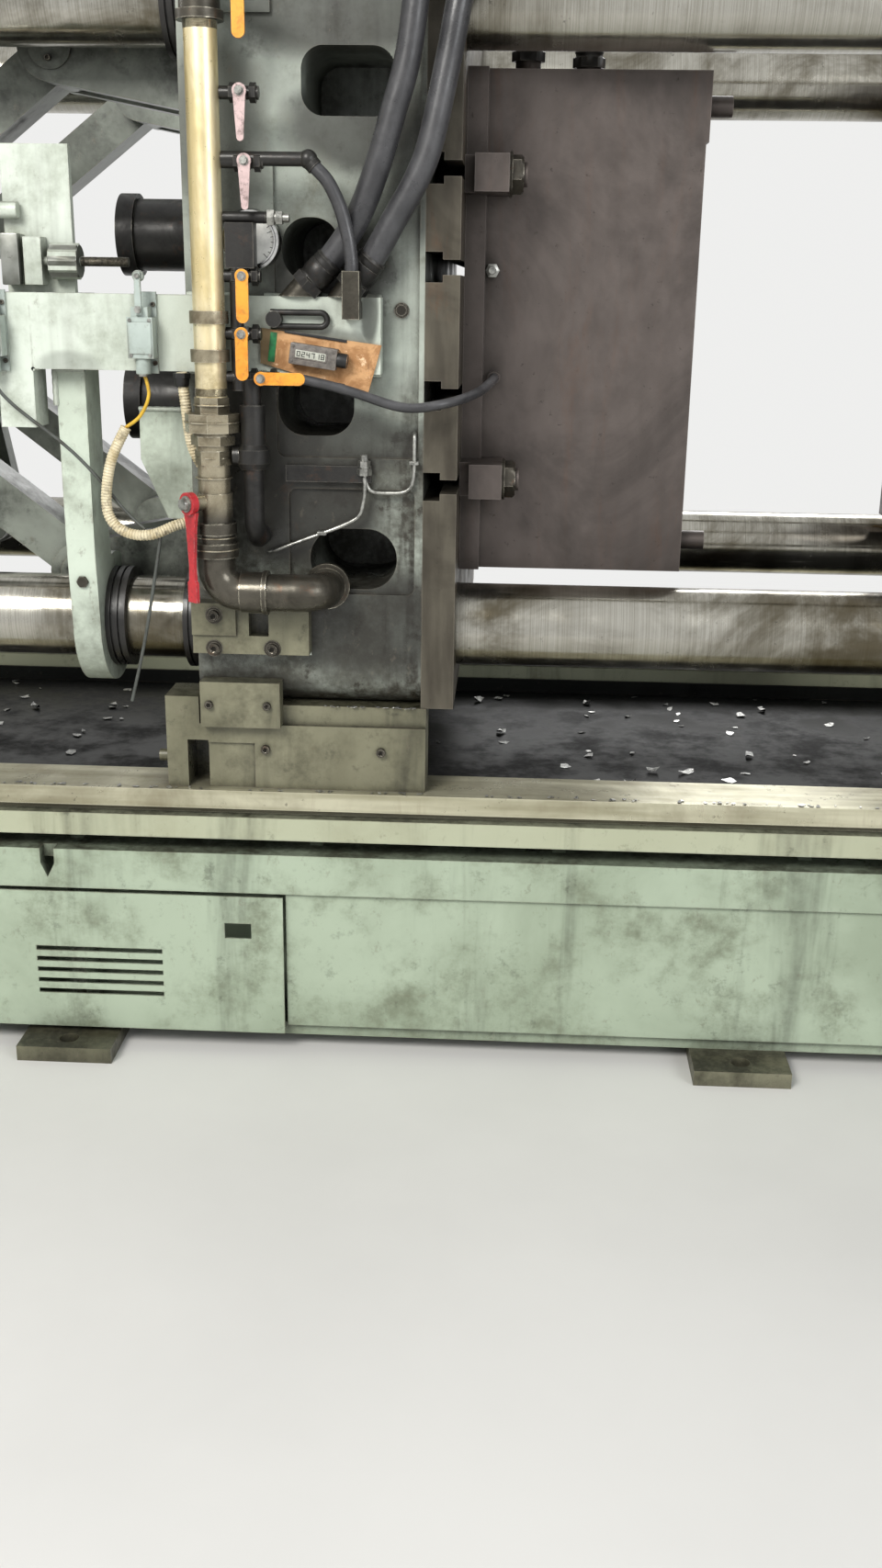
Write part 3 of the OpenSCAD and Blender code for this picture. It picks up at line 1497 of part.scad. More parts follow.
// The base of the injection end: two long beams and four cross plates
module injection_base() {
    l = shot_end_x - base_x0;
    color("darkseagreen") {
        both_sides() block(base_x0, shot_end_x, base_w / 2 - base_beam_w, base_w / 2, 0, base_h);
        for (i = [0 : 4]) base_plate(base_x0 + i * (l - base_beam_w) / 4);
        block(pedestal_x - 40, pedestal_x + pedestal_l + 40, -base_w / 2, base_w / 2, 0, base_h);
    }
}

module base_plate(x) {
    block(x, x + base_beam_w, -base_w / 2, base_w / 2, 0, base_h);
}

// Two nitrogen bottles with round shoulders and a valve on top
module accumulators() {
    r = bottle_d / 2;
    h = bottle_h;
    color("gray") both_sides() turned_z(bottle_x, r + 75, base_h, [
        [0, 0], [0, r - 20], [14, r], [h - 160, r], [h - 130, r - 8], [h - 100, r - 34], [h - 80, 50],
        [h - 70, 36], [h - 40, 36], [h - 40, 28], [h, 28], [h, 0]
    ]);
}

// The tank under the shot frame, with its lid and the round cleaning covers on its sides
module hydraulic_tank() {
    x1 = tank_x + tank_l;
    z1 = base_h + tank_h;
    color("darkseagreen") {
        block(tank_x, x1, -tank_w / 2, tank_w / 2, base_h, z1);
        block(tank_x - lid_out, x1 + lid_out, -tank_w / 2 - lid_out, tank_w / 2 + lid_out, z1 - lid_t, z1);
        for (x = [tank_x + tank_l / 4, tank_x + tank_l * 3 / 4])
            bar_y(x, base_h + tank_h / 2, -tank_w / 2 - manhole_t, 0, manhole_d);
        bar_z(x1 - breather_in, -tank_w / 2 + breather_in, z1, z1 + breather_h, breather_d);
    }
}

// The pump motor, standing on the tank, with cooling fins and a fan cover
module pump_motor() {
    z0 = base_h + tank_h;
    r = motor_d / 2;
    color("gray") {
        bar_z(motor_x, 0, z0, z0 + motor_flange_t, motor_flange_d);
        bar_z(motor_x, 0, z0 + motor_flange_t, z0 + motor_flange_t + motor_l, motor_body_d);
        for (i = [0 : fin_count - 1])
            translate([motor_x, 0, z0 + 2 * motor_flange_t]) rotate([0, 0, i * 360 / fin_count])
                translate([0, -fin_t / 2, 0]) cube([r, fin_t, fin_l]);
        turned_z(motor_x, 0, z0 + motor_l - motor_flange_t, [
            [0, 0], [0, r + 4], [cowl_l, r + 4], [cowl_l + 16, r - 20], [cowl_l + 16, 0]
        ]);
    }
}

sole_plates();
bed_frame();
bed_cross_beams();
slide_rails();
bed_panels();
bed_door();
drip_tray();
tail_platen();
tail_brackets();
fixed_platen();
fixed_face_strips();
tie_bars();
tie_bar_nuts();
closing_cylinder();
guide_rods();
crosshead();
piston_rod();
rear_link_upper();
rear_link_lower();
front_link_upper();
front_link_lower();
short_link_upper();
short_link_lower();
moving_platen();
platen_brackets();
moving_face_strips();
platen_shoes();
tie_bar_wipers();
ejector_cylinders();
side_beams();
guide_plates();
limit_switch();
brass_pipe();
pipe_fittings();
valve_lever();
valve_manifold();
counter_board();
switch_conduit();
die_hoses();
beam_end_box();
small_lever_1();
small_lever_2();
small_lever_3();
small_lever_4();
small_lever_5();
small_lever_6();
moving_die();
fixed_die();
die_clamps_moving();
die_clamps_fixed();
shot_sleeve();
shot_frame();
shot_cylinder();
plunger();
injection_base();
accumulators();
hydraulic_tank();
pump_motor();
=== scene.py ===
import math
import random

import bmesh
import bpy
from mathutils import Matrix, Vector


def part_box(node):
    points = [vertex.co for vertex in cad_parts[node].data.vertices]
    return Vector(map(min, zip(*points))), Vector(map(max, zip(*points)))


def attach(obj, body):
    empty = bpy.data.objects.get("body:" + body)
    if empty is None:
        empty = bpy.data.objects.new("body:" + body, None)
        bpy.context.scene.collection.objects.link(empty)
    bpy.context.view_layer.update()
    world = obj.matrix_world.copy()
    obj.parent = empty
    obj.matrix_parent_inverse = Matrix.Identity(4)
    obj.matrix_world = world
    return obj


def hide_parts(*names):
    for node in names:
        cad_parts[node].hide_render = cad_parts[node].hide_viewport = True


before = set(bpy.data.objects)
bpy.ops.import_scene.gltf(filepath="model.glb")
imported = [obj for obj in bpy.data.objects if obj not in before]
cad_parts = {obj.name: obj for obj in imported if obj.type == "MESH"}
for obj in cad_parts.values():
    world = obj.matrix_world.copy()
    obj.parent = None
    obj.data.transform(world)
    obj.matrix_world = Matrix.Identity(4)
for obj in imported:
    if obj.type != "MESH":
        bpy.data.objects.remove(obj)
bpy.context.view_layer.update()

# Places on the operator side are given in millimetres: x from the platen's rear face,
# y from the machine's centre plane and z from the clamp centre line.
platen_lo, platen_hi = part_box("moving_platen")
PLATEN_X = platen_lo.x
CENTRE_Z = (platen_lo.z + platen_hi.z) / 2
SIDE = (platen_hi.y - platen_lo.y) / 2 * 1000
PITCH = 0.52  # from the centre lines to the tie bars, in metres
FRONT, BACK, END, UP, DOWN = (0, -1, 0), (-1, 0, 0), (1, 0, 0), (0, 0, 1), (0, 0, -1)


def P(x, y, z):
    return Vector((PLATEN_X + x / 1000, y / 1000, CENTRE_Z + z / 1000))


def linear(rgb):
    """A colour given as sRGB values from 0 to 255, as linear light."""
    out = []
    for v in rgb:
        v = v / 255
        out.append(v / 12.92 if v <= 0.04045 else ((v + 0.055) / 1.055) ** 2.4)
    return (*out, 1.0)


# ---------------------------------------------------------------- camera

FOCAL_PX = 1648.6
IMAGE_H = 1707
CAMERA_AT = (-0.454, -3.281, 1.401)
CAMERA_RIGHT = (0.99866, 0.04951, 0.01444)
CAMERA_DOWN = (0.02913, -0.3104, -0.95016)
CAMERA_FORWARD = (-0.04256, 0.94932, -0.31143)


def make_camera():
    data = bpy.data.cameras.new("camera")
    data.sensor_width = 36
    data.lens = 36 * FOCAL_PX / IMAGE_H
    data.clip_start, data.clip_end = 0.05, 100
    camera = bpy.data.objects.new("camera", data)
    bpy.context.scene.collection.objects.link(camera)
    right, down, forward = (
        Vector(v).normalized() for v in (CAMERA_RIGHT, CAMERA_DOWN, CAMERA_FORWARD))
    m = Matrix((right, -down, -forward)).transposed().to_4x4()
    m.translation = Vector(CAMERA_AT)
    camera.matrix_world = m
    bpy.context.scene.camera = camera


make_camera()
bpy.context.scene.view_settings.view_transform = "Standard"


# ---------------------------------------------------------------- mesh helpers

def frame_of(direction):
    return Vector(direction).to_track_quat("Z", "Y").to_matrix()


def turned(degrees):
    """A turn in the plane of the machine's side."""
    return Matrix.Rotation(math.radians(degrees), 3, "Y")


class Piece:
    """One visible piece: small parts of the same body and material, gathered in one mesh."""

    def __init__(self, name, body, material, slot=None):
        self.name, self.body, self.material, self.slot = name, body, material, slot
        self.bm = bmesh.new()

    def grid(self, rings):
        """Faces between rings of points, closed at both ends; each ring has the same number of points."""
        rows = [[self.bm.verts.new(p) for p in ring] for ring in rings]
        n = len(rows[0])
        for a, b in zip(rows, rows[1:]):
            for k in range(n):
                self.bm.faces.new((a[k], a[(k + 1) % n], b[(k + 1) % n], b[k]))
        self.bm.faces.new(list(reversed(rows[0])))
        self.bm.faces.new(rows[-1])

    def lathe(self, at, direction, profile, sides=24, turn=0.0):
        """A turned piece: profile holds (height, radius) in mm; a radius of ("hex", r) is a hexagon."""
        m = frame_of(direction)
        rings = []
        for h, r in profile:
            ring = []
            for k in range(sides):
                a = math.tau * k / sides + turn
                q = r
                if isinstance(r, tuple):
                    part = (a - turn) % (math.pi / 3)
                    q = r[1] * math.cos(math.pi / 6) / math.cos(part - math.pi / 6)
                q = max(q, 0.02)
                ring.append(Vector(at) + m @ Vector((q * math.cos(a), q * math.sin(a), h)) / 1000)
            rings.append(ring)
        self.grid(rings)

    def box(self, at, lo, hi, bevel=1.0, turn=None):
        """A block from lo to hi in mm beside the point at, turned about it, its edges rounded."""
        lo, hi = Vector(lo), Vector(hi)
        one = bmesh.new()
        bmesh.ops.create_cube(one, size=1.0)
        for v in one.verts:
            v.co = (lo + hi) / 2 + Vector([a * b for a, b in zip(v.co, hi - lo)])
        if bevel:
            bmesh.ops.bevel(one, geom=one.edges[:], offset=bevel, segments=2, profile=0.6,
                            affect="EDGES", clamp_overlap=True)
        self.add(one, at, turn)

    def plate(self, at, outline, thick, turn=None, bend=0.0):
        """A flat piece: an outline in mm in its own X-Y plane, thick along Z, and bent a little."""
        one = bmesh.new()
        low = [one.verts.new((x, y, bend * x * x)) for x, y in outline]
        top = [one.verts.new((x, y, thick + bend * x * x)) for x, y in outline]
        n = len(outline)
        one.faces.new(list(reversed(low)))
        one.faces.new(top)
        for k in range(n):
            one.faces.new((low[k], low[(k + 1) % n], top[(k + 1) % n], top[k]))
        self.add(one, at, turn)

    def add(self, one, at, turn=None):
        """Joins a small mesh given in mm, turned and moved to its place."""
        turn = turn or Matrix.Identity(3)
        new = {v: self.bm.verts.new(Vector(at) + turn @ v.co / 1000) for v in one.verts}
        for f in one.faces:
            self.bm.faces.new([new[v] for v in f.verts])
        one.free()

    def bolt_circle(self, at, direction, radius, count, kind="socket", d=16, start=0.0):
        """Bolts on a circle round an axis."""
        m = frame_of(direction)
        for k in range(count):
            a = math.tau * (k + start) / count
            place = Vector(at) + m @ Vector((radius * math.cos(a), radius * math.sin(a), 0)) / 1000
            if kind == "socket":
                self.socket_screw(place, direction, d, turn=a * 1.7)
            else:
                self.hex_bolt(place, direction, d, turn=a * 2.3)

    def weld(self, a, b, r):
        """A wavy weld bead between two points."""
        a, b = Vector(a), Vector(b)
        steps = max(4, int((b - a).length * 1000 / 5))
        self.tube([a + (b - a) * k / steps for k in range(steps + 1)],
                  lambda share, gone: r * (0.85 + 0.2 * abs(math.sin(gone * 1000 / 2.6))), 8)

    def socket_screw(self, at, direction, d=10, head=None, turn=0.0):
        r = (head or 1.6 * d) / 2
        h = d
        self.lathe(at, direction, [
            (0, 0), (0, r), (h - 1, r), (h, r - 1), (h, r * 0.62), (h - 0.6, ("hex", r * 0.58)),
            (h * 0.45, ("hex", r * 0.58)), (h * 0.45, 0)
        ], 24, turn)

    def hex_bolt(self, at, direction, d=12, washer=True, turn=0.0):
        flat = 0.85 * d
        z = 0
        if washer:
            self.lathe(at, direction, [(0, 0), (0, d * 1.05), (d * 0.16, d * 1.05), (d * 0.16, 0)], 24)
            z = d * 0.16
        h = 0.62 * d
        self.lathe(at, direction, [
            (z, 0), (z, ("hex", flat)), (z + h * 0.8, ("hex", flat)), (z + h, flat * 0.86), (z + h, 0)
        ], 24, turn)

    def tube(self, points, r, sides=12):
        """A tube along points in metres; r is a radius in mm or a function of the share and the length."""
        pts = [Vector(p) for p in points]
        total = sum((b - a).length for a, b in zip(pts, pts[1:]))
        side = Vector((0.3, 0.9, 0.2))
        gone = 0.0
        rings = []
        for i, p in enumerate(pts):
            if i:
                gone += (p - pts[i - 1]).length
            along = (pts[min(i + 1, len(pts) - 1)] - pts[max(i - 1, 0)]).normalized()
            side = (side - side.dot(along) * along).normalized()
            up = along.cross(side)
            q = (r(gone / total, gone) if callable(r) else r) / 1000
            rings.append([
                p + q * (math.cos(math.tau * k / sides) * side + math.sin(math.tau * k / sides) * up)
                for k in range(sides)
            ])
        self.grid(rings)

    def make(self):
        mesh = bpy.data.meshes.new(self.name)
        bmesh.ops.recalc_face_normals(self.bm, faces=self.bm.faces)
        self.bm.to_mesh(mesh)
        self.bm.free()
        mesh.polygons.foreach_set("use_smooth", [True] * len(mesh.polygons))
        mesh.set_sharp_from_angle(angle=math.radians(38))
        mesh.materials.append(material(self.material))
        obj = bpy.data.objects.new(self.name, mesh)
        bpy.context.scene.collection.objects.link(obj)
        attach(obj, self.body)
        return obj


def curve_points(route, steps=10):
    """The smooth curve that the CAD cords follow, through the same points."""
    r = [Vector(p) for p in route]
    out = []
    for i in range(len(r) - 1):
        a, b, c, d = r[max(i - 1, 0)], r[i], r[i + 1], r[min(i + 2, len(r) - 1)]
        for s in range(steps):
            t = s / steps
            out.append(
                b + t * (c - a) / 2 + t * t * (a - 2.5 * b + 2 * c - 0.5 * d)
                + t ** 3 * (1.5 * (b - c) + (d - a) / 2)
            )
    out.append(r[-1])
    return out


# ---------------------------------------------------------------- materials

MADE = {}
# Ranges of the corner and edge masks, and colours that several materials share
OPEN_AND_DEEP = (0.85, 0.35)
FLAT_AND_ROUND = (0.02, 0.16)
OIL, BARE_IRON, PAINT_RUST = (33, 31, 26), (120, 112, 98), (116, 76, 46)
# STEEL_GRIME_AND_SHADE is the colour of grime and of painted shade in the steel's corners
SPECK, STEEL_RUST, STEEL_GRIME_AND_SHADE = (36, 32, 26), (104, 66, 38), (34, 31, 25)


class Tree:
    """Short calls for building a node tree."""

    def __init__(self, name):
        self.m = bpy.data.materials.new(name)
        self.m.use_nodes = True
        self.t = self.m.node_tree
        self.t.nodes.clear()
        self.shader = self.add("ShaderNodeBsdfPrincipled")
        out = self.add("ShaderNodeOutputMaterial")
        self.t.links.new(self.shader.outputs[0], out.inputs[0])
        self.coord = self.add("ShaderNodeTexCoord").outputs["Object"]
        self.geometry = self.add("ShaderNodeNewGeometry")

    def add(self, kind, **props):
        n = self.t.nodes.new(kind)
        for k, v in props.items():
            setattr(n, k, v)
        return n

    def put(self, node, name, value):
        s = node.inputs[name]
        if isinstance(value, bpy.types.NodeSocket):
            self.t.links.new(value, s)
        else:
            s.default_value = value

    def fill(self, node, **values):
        for k, v in values.items():
            self.put(node, k.replace("_", " "), v)
        return node

    def filled(self, kind, **values):
        return self.fill(self.add(kind), **values)

    def stretched(self, scale, turn=(0, 0, 0), shift=(0, 0, 0)):
        return self.filled("ShaderNodeMapping", Vector=self.coord, Scale=scale, Rotation=turn,
                           Location=shift).outputs[0]

    def noise(self, scale, detail=4.0, rough=0.6, vector=None, twist=0.0):
        return self.filled("ShaderNodeTexNoise", Vector=vector or self.coord, Scale=scale, Detail=detail,
                           Roughness=rough, Distortion=twist).outputs["Fac"]

    def step(self, value, a, b, lo=0.0, hi=1.0):
        """value from a to b, smoothly mapped to lo to hi."""
        n = self.filled("ShaderNodeMapRange", Value=value, From_Min=a, From_Max=b, To_Min=lo, To_Max=hi)
        n.interpolation_type = "SMOOTHSTEP"
        return n.outputs[0]

    def math(self, kind, a, b, clamp=False):
        n = self.add("ShaderNodeMath", operation=kind, use_clamp=clamp)
        self.put(n, 0, a)
        self.put(n, 1, b)
        return n.outputs[0]

    def mul(self, a, b, clamp=False):
        return self.math("MULTIPLY", a, b, clamp)

    def plus(self, a, b, clamp=False):
        return self.math("ADD", a, b, clamp)

    def most(self, a, b):
        return self.math("MAXIMUM", a, b)

    def mix(self, share, a, b):
        """Colours blended; a plain colour is given as sRGB."""
        n = self.add("ShaderNodeMix", data_type="RGBA")
        for i, v in ((0, share), (6, a), (7, b)):
            self.put(n, i, linear(v) if isinstance(v, tuple) else v)
        return n.outputs[2]

    def blend(self, share, a, b):
        """The same for plain numbers."""
        n = self.add("ShaderNodeMix", data_type="FLOAT")
        for i, v in ((0, share), (2, a), (3, b)):
            self.put(n, i, v)
        return n.outputs[0]

    def corners(self, distance):
        """1 in corners and recesses, 0 on open faces; where it darkens a colour, it paints shade there
        along with grime.
        """
        n = self.add("ShaderNodeAmbientOcclusion", samples=4)
        self.put(n, "Distance", distance)
        return self.step(n.outputs["AO"], *OPEN_AND_DEEP)

    def edges(self, radius):
        """1 along the outer edges."""
        n = self.add("ShaderNodeBevel", samples=3)
        self.put(n, "Radius", radius)
        dot = self.add("ShaderNodeVectorMath", operation="DOT_PRODUCT")
        self.put(dot, 0, n.outputs[0])
        self.put(dot, 1, self.geometry.outputs["Normal"])
        return self.step(self.math("SUBTRACT", 1.0, dot.outputs["Value"]), *FLAT_AND_ROUND)

    def one_of(self, vector, axis):
        n = self.add("ShaderNodeSeparateXYZ")
        self.put(n, 0, vector)
        return n.outputs[axis]

    def facing(self, axis):
        """How far the surface faces along an axis: 0 to 2 for x to z."""
        return self.one_of(self.geometry.outputs["Normal"], axis)

    def along(self, axis):
        """The place along an axis, in metres."""
        return self.one_of(self.coord, axis)

    def stains(self, spots, noise):
        """1 inside oily spots on the operator side: x, z, half width, half height in mm, strength."""
        total = 0.0
        for x, z, wide, high, strength in spots:
            dx = self.mul(self.math("SUBTRACT", self.along(0), PLATEN_X + x / 1000), 1000 / wide)
            dz = self.mul(self.math("SUBTRACT", self.along(2), CENTRE_Z + z / 1000), 1000 / high)
            apart = self.plus(self.mul(dx, dx), self.mul(dz, dz))
            apart = self.plus(apart, self.mul(noise, 1.6))
            total = self.most(total, self.step(apart, 2.05, 1.2, 0.0, strength))
        return self.mul(total, self.step(self.along(1), -0.45, -0.60))

    def bump(self, height, strength=0.3, distance=0.001, normal=None):
        n = self.filled("ShaderNodeBump", Height=height, Strength=strength, Distance=distance)
        if normal is not None:
            self.put(n, "Normal", normal)
        return n.outputs[0]

    def finish(self, colour, rough, metal, normal, **extra):
        self.fill(self.shader, Base_Color=colour, Roughness=rough, Metallic=metal, Normal=normal, **extra)
        return self.m


def painted(name, pale, mid, low, dirt, grime_and_shade, streaks, wear, rust, rough,
            stretch=(7, 7, 0.7), seed=0.0, grimy=None, top=None, specular=0.45, stains=()):
    """Machine paint: three tones in patches, grime and painted shade in corners, grime in runs, worn edges,
    chips and rust.
    """
    t = Tree(name)
    shift = t.stretched((1, 1, 1), shift=(seed, seed * 0.7, seed * 1.3))
    patches = t.noise(1.9, 6, 0.62, shift, 0.4)
    clouds = t.noise(6.5, 6, 0.7, shift)
    fine = t.noise(70, 4, 0.65, shift)
    colour = t.mix(t.step(patches, 0.36, 0.62), pale, mid)
    colour = t.mix(t.step(clouds, 0.46, 0.74), colour, low)
    runs = t.noise(1.0, 5, 0.7, t.stretched(stretch, shift=(seed, 0, seed)), 0.3)
    run = t.mul(t.step(runs, 0.52, 0.72), streaks)
    # Painted shade with grime: corners and recesses darken towards the dirt colour
    corner_grime_and_shade = t.corners(0.09)
    spots = t.step(t.noise(24, 5, 0.75, shift), 0.57, 0.70)
    dirt_and_shade = t.mul(t.plus(t.mul(corner_grime_and_shade, 0.95), t.mul(spots, 0.45)), grime_and_shade)
    dirt_and_shade = t.plus(dirt_and_shade, t.mul(run, 0.75), True)
    up = t.mul(t.step(t.facing(2), 0.55, 0.95), t.step(clouds, 0.30, 0.62, 0.45, 0.95))
    dirt_and_shade = t.most(dirt_and_shade, t.mul(up, min(1.0, grime_and_shade + 0.25)))
    # Darker towards the bottom, below a given height
    if grimy:
        below = t.mul(t.step(t.along(2), grimy[0], grimy[1]), t.step(clouds, 0.30, 0.60, 0.35, 1.0))
        dirt_and_shade = t.plus(dirt_and_shade, t.mul(below, grimy[2]), True)
    if top:
        colour = t.mix(t.mul(t.step(t.along(2), top[0], top[1]), 0.75), colour, top[2])
    dirt_and_shade = t.mul(dirt_and_shade, t.step(fine, 0.25, 0.62, 0.72, 1.0), True)
    # The dirt colour paints grime, and in corners it paints shade as well
    colour = t.mix(dirt_and_shade, colour, dirt)
    if stains:
        oily = t.stains(stains, clouds)
        colour = t.mix(t.mul(oily, 0.96), colour, OIL)
        dirt_and_shade = t.most(dirt_and_shade, oily)
    scratched = t.stretched((40, 40, 26), (0.3, 0.5, 0.2), (seed, 0, 0))
    scuffs = t.step(t.noise(1.0, 6, 0.8, scratched), 0.60, 0.66)
    edge = t.mul(t.edges(0.004), t.step(t.noise(16, 5, 0.7, shift), 0.40, 0.60))
    bare = t.mul(t.plus(edge, t.mul(scuffs, 0.5)), wear, True)
    colour = t.mix(bare, colour, BARE_IRON)
    rusty = t.mul(t.step(t.noise(9, 7, 0.8, shift, 0.8), 0.62, 0.72), rust, True)
    colour = t.mix(rusty, colour, PAINT_RUST)
    gloss = t.blend(dirt_and_shade, rough, t.step(clouds, 0.35, 0.65, 0.16, 0.60))
    gloss = t.plus(gloss, t.mul(fine, 0.10))
    normal = t.bump(t.noise(220, 3, 0.6), 0.12, 0.0006)
    normal = t.bump(t.math("SUBTRACT", t.mul(dirt_and_shade, 0.5), bare), 0.35, 0.0007, normal)
    return t.finish(colour, gloss, t.mul(bare, 0.5), normal, Specular_IOR_Level=specular)


def steel(name, base, dark, film, rough, oil, rust, grain, metal, seed, corner_grime_and_shade_share=0.6, grain_share=1.0):
    """Machined steel: a fine grain, an oil film in patches, dark specks, grime and painted shade in
    corners, and a painted highlight along the edges.
    """
    t = Tree(name)
    shift = t.stretched((1, 1, 1), shift=(seed, seed, seed))
    patches = t.noise(3.2, 6, 0.65, shift, 0.6)
    lines = t.noise(1.0, 3, 0.5, t.stretched(grain, shift=(seed, 0, 0)))
    colour = t.mix(t.mul(t.step(lines, 0.30, 0.72), grain_share), base, dark)
    oily = t.mul(t.step(patches, 0.40, 0.66), oil, True)
    colour = t.mix(oily, colour, film)
    specks = t.step(t.noise(55, 5, 0.8, shift), 0.62, 0.70)
    colour = t.mix(t.mul(specks, 0.6), colour, SPECK)
    if rust:
        hanging = t.stretched((16, 16, 2.2), shift=(seed, 0, 0))
        stain = t.step(t.noise(1.0, 6, 0.75, hanging, 0.5), 0.50, 0.70)
        stain = t.mul(t.mul(stain, t.step(t.noise(5, 4, 0.6, shift), 0.35, 0.6)), rust, True)
        colour = t.mix(stain, colour, STEEL_RUST)
    # Painted shade with grime: corners and recesses darken towards a near black
    corner_grime_and_shade = t.mul(t.corners(0.06), corner_grime_and_shade_share)
    colour = t.mix(corner_grime_and_shade, colour, STEEL_GRIME_AND_SHADE)
    # Painted highlight: the steel is lighter along its outer edges
    colour = t.mix(t.mul(t.edges(0.003), 0.5), colour, tuple(min(255, c + 34) for c in base))
    gloss = t.step(t.noise(11, 6, 0.7, shift), 0.30, 0.72, *rough)
    gloss = t.plus(gloss, t.mul(corner_grime_and_shade, 0.25))
    if rust:
        gloss = t.plus(gloss, t.mul(stain, 0.3))
    normal = t.bump(lines, 0.10, 0.0004)
    normal = t.bump(specks, 0.15, 0.0004, normal)
    return t.finish(colour, gloss, metal, normal)


def cast(name, base, dark, rust, rough, metal, wear, bare=(150, 146, 136), seed=0.0, grain=140, upper=None):
    """Cast or forged iron: mottled, pitted, rusty in patches, darker in corners with painted shade, and
    bright along worn edges.
    """
    t = Tree(name)
    shift = t.stretched((1, 1, 1), shift=(seed, seed, 0))
    clouds = t.noise(14, 6, 0.7, shift, 0.5)
    pits = t.noise(grain, 4, 0.7, shift)
    colour = t.mix(t.step(clouds, 0.34, 0.68), base, dark)
    if upper:
        bright = t.mix(t.step(clouds, 0.34, 0.68), upper[2], upper[3])
        here = t.mul(t.step(t.along(2), *upper[0]), t.step(t.along(2), *upper[1]))
        here = t.mul(here, t.step(t.along(0), PLATEN_X + 0.130, PLATEN_X + 0.112))
        colour = t.mix(here, colour, bright)
    colour = t.mix(t.mul(t.step(t.noise(20, 6, 0.8, shift), 0.55, 0.68), rust, True), colour,
                   (112, 74, 48))
    # Painted shade: near black in corners and recesses
    colour = t.mix(t.mul(t.corners(0.03), 0.7), colour, (24, 22, 19))
    edge = t.mul(t.edges(0.0025), t.step(t.noise(45, 4, 0.7, shift), 0.35, 0.6))
    edge = t.mul(edge, wear, True)
    colour = t.mix(edge, colour, bare)
    gloss = t.plus(t.step(clouds, 0.3, 0.7, rough - 0.14, rough + 0.12), t.mul(edge, -0.2))
    return t.finish(colour, gloss, t.blend(edge, metal, 0.9), t.bump(pits, 0.22, 0.0008))


def coated(name, base, dark, rough, dirt, worn, bare=(170, 164, 150), seed=0.0, coat=0.0):
    """Dipped plastic or paint on small parts, smudged, darker in corners with painted shade, and rubbed
    through along the edges.
    """
    t = Tree(name)
    shift = t.stretched((1, 1, 1), shift=(seed, 0, seed))
    colour = t.mix(t.step(t.noise(26, 5, 0.7, shift), 0.40, 0.70), base, dark)
    smudge_and_shade = t.mul(t.step(t.noise(60, 6, 0.75, shift, 0.5), 0.50, 0.66), dirt)
    # Painted shade: corners darken, added to the smudges
    smudge_and_shade = t.plus(smudge_and_shade, t.mul(t.corners(0.02), 0.5), True)
    colour = t.mix(smudge_and_shade, colour, (58, 48, 36))
    edge = t.mul(t.edges(0.0016), t.step(t.noise(110, 4, 0.7, shift), 0.45, 0.60))
    colour = t.mix(t.mul(edge, worn, True), colour, bare)
    gloss = t.plus(rough, t.mul(smudge_and_shade, 0.25))
    return t.finish(colour, gloss, 0.0, t.bump(t.noise(180, 4, 0.6), 0.12, 0.0004), Coat_Weight=coat)


def rubber(name, base, dust, seed, rough=0.38):
    """Rubber with dust on its upper side and oily dark patches."""
    t = Tree(name)
    shift = t.stretched((1, 1, 1), shift=(seed, 0, 0))
    colour = t.mix(t.step(t.noise(9, 6, 0.7, shift), 0.34, 0.68), base, dust)
    up = t.mul(t.step(t.facing(2), 0.1, 0.9), t.step(t.noise(22, 5, 0.7, shift), 0.35, 0.65))
    colour = t.mix(t.mul(up, 0.45), colour, tuple(min(255, c + 40) for c in dust))
    colour = t.mix(t.mul(t.step(t.noise(80, 5, 0.8, shift), 0.60, 0.70), 0.5), colour, (18, 17, 16))
    gloss = t.step(t.noise(13, 5, 0.7, shift), 0.3, 0.7, rough - 0.15, rough + 0.15)
    return t.finish(colour, gloss, 0.0, t.bump(t.noise(190, 4, 0.6), 0.25, 0.0005))


def card(name):
    """Brown board: fibres, pale rubbed patches, oil stains and a dark left end."""
    t = Tree(name)
    fibres = t.noise(1.0, 4, 0.6, t.stretched((300, 60, 40), (0, 0.14, 0)))
    blotch = t.noise(26, 6, 0.7, None, 0.8)
    colour = t.mix(t.step(blotch, 0.40, 0.62), (206, 160, 112), (164, 118, 74))
    colour = t.mix(t.step(t.noise(60, 4, 0.7), 0.60, 0.72), colour, (236, 200, 160))
    colour = t.mix(t.mul(t.step(t.noise(34, 6, 0.8), 0.56, 0.68), 0.7), colour, (84, 60, 40))
    left = t.step(t.along(0), PLATEN_X + 0.158, PLATEN_X + 0.146)
    colour = t.mix(t.mul(left, 0.85), colour, (96, 88, 62))
    return t.finish(colour, 0.72, 0.0, t.bump(fibres, 0.3, 0.0005))


def plain(name, base, rough, metal, spread, scale):
    """A small uniform part, with a little mottling."""
    t = Tree(name)
    dark = tuple(c * (1 - spread * 2) for c in base)
    colour = t.mix(t.step(t.noise(scale, 5, 0.7), 0.35, 0.68), base, dark)
    gloss = t.step(t.noise(scale * 0.6, 4, 0.6), 0.3, 0.7, rough - 0.08, rough + 0.08)
    return t.finish(colour, gloss, metal, t.bump(t.noise(scale * 5, 3, 0.6), 0.12, 0.0004))


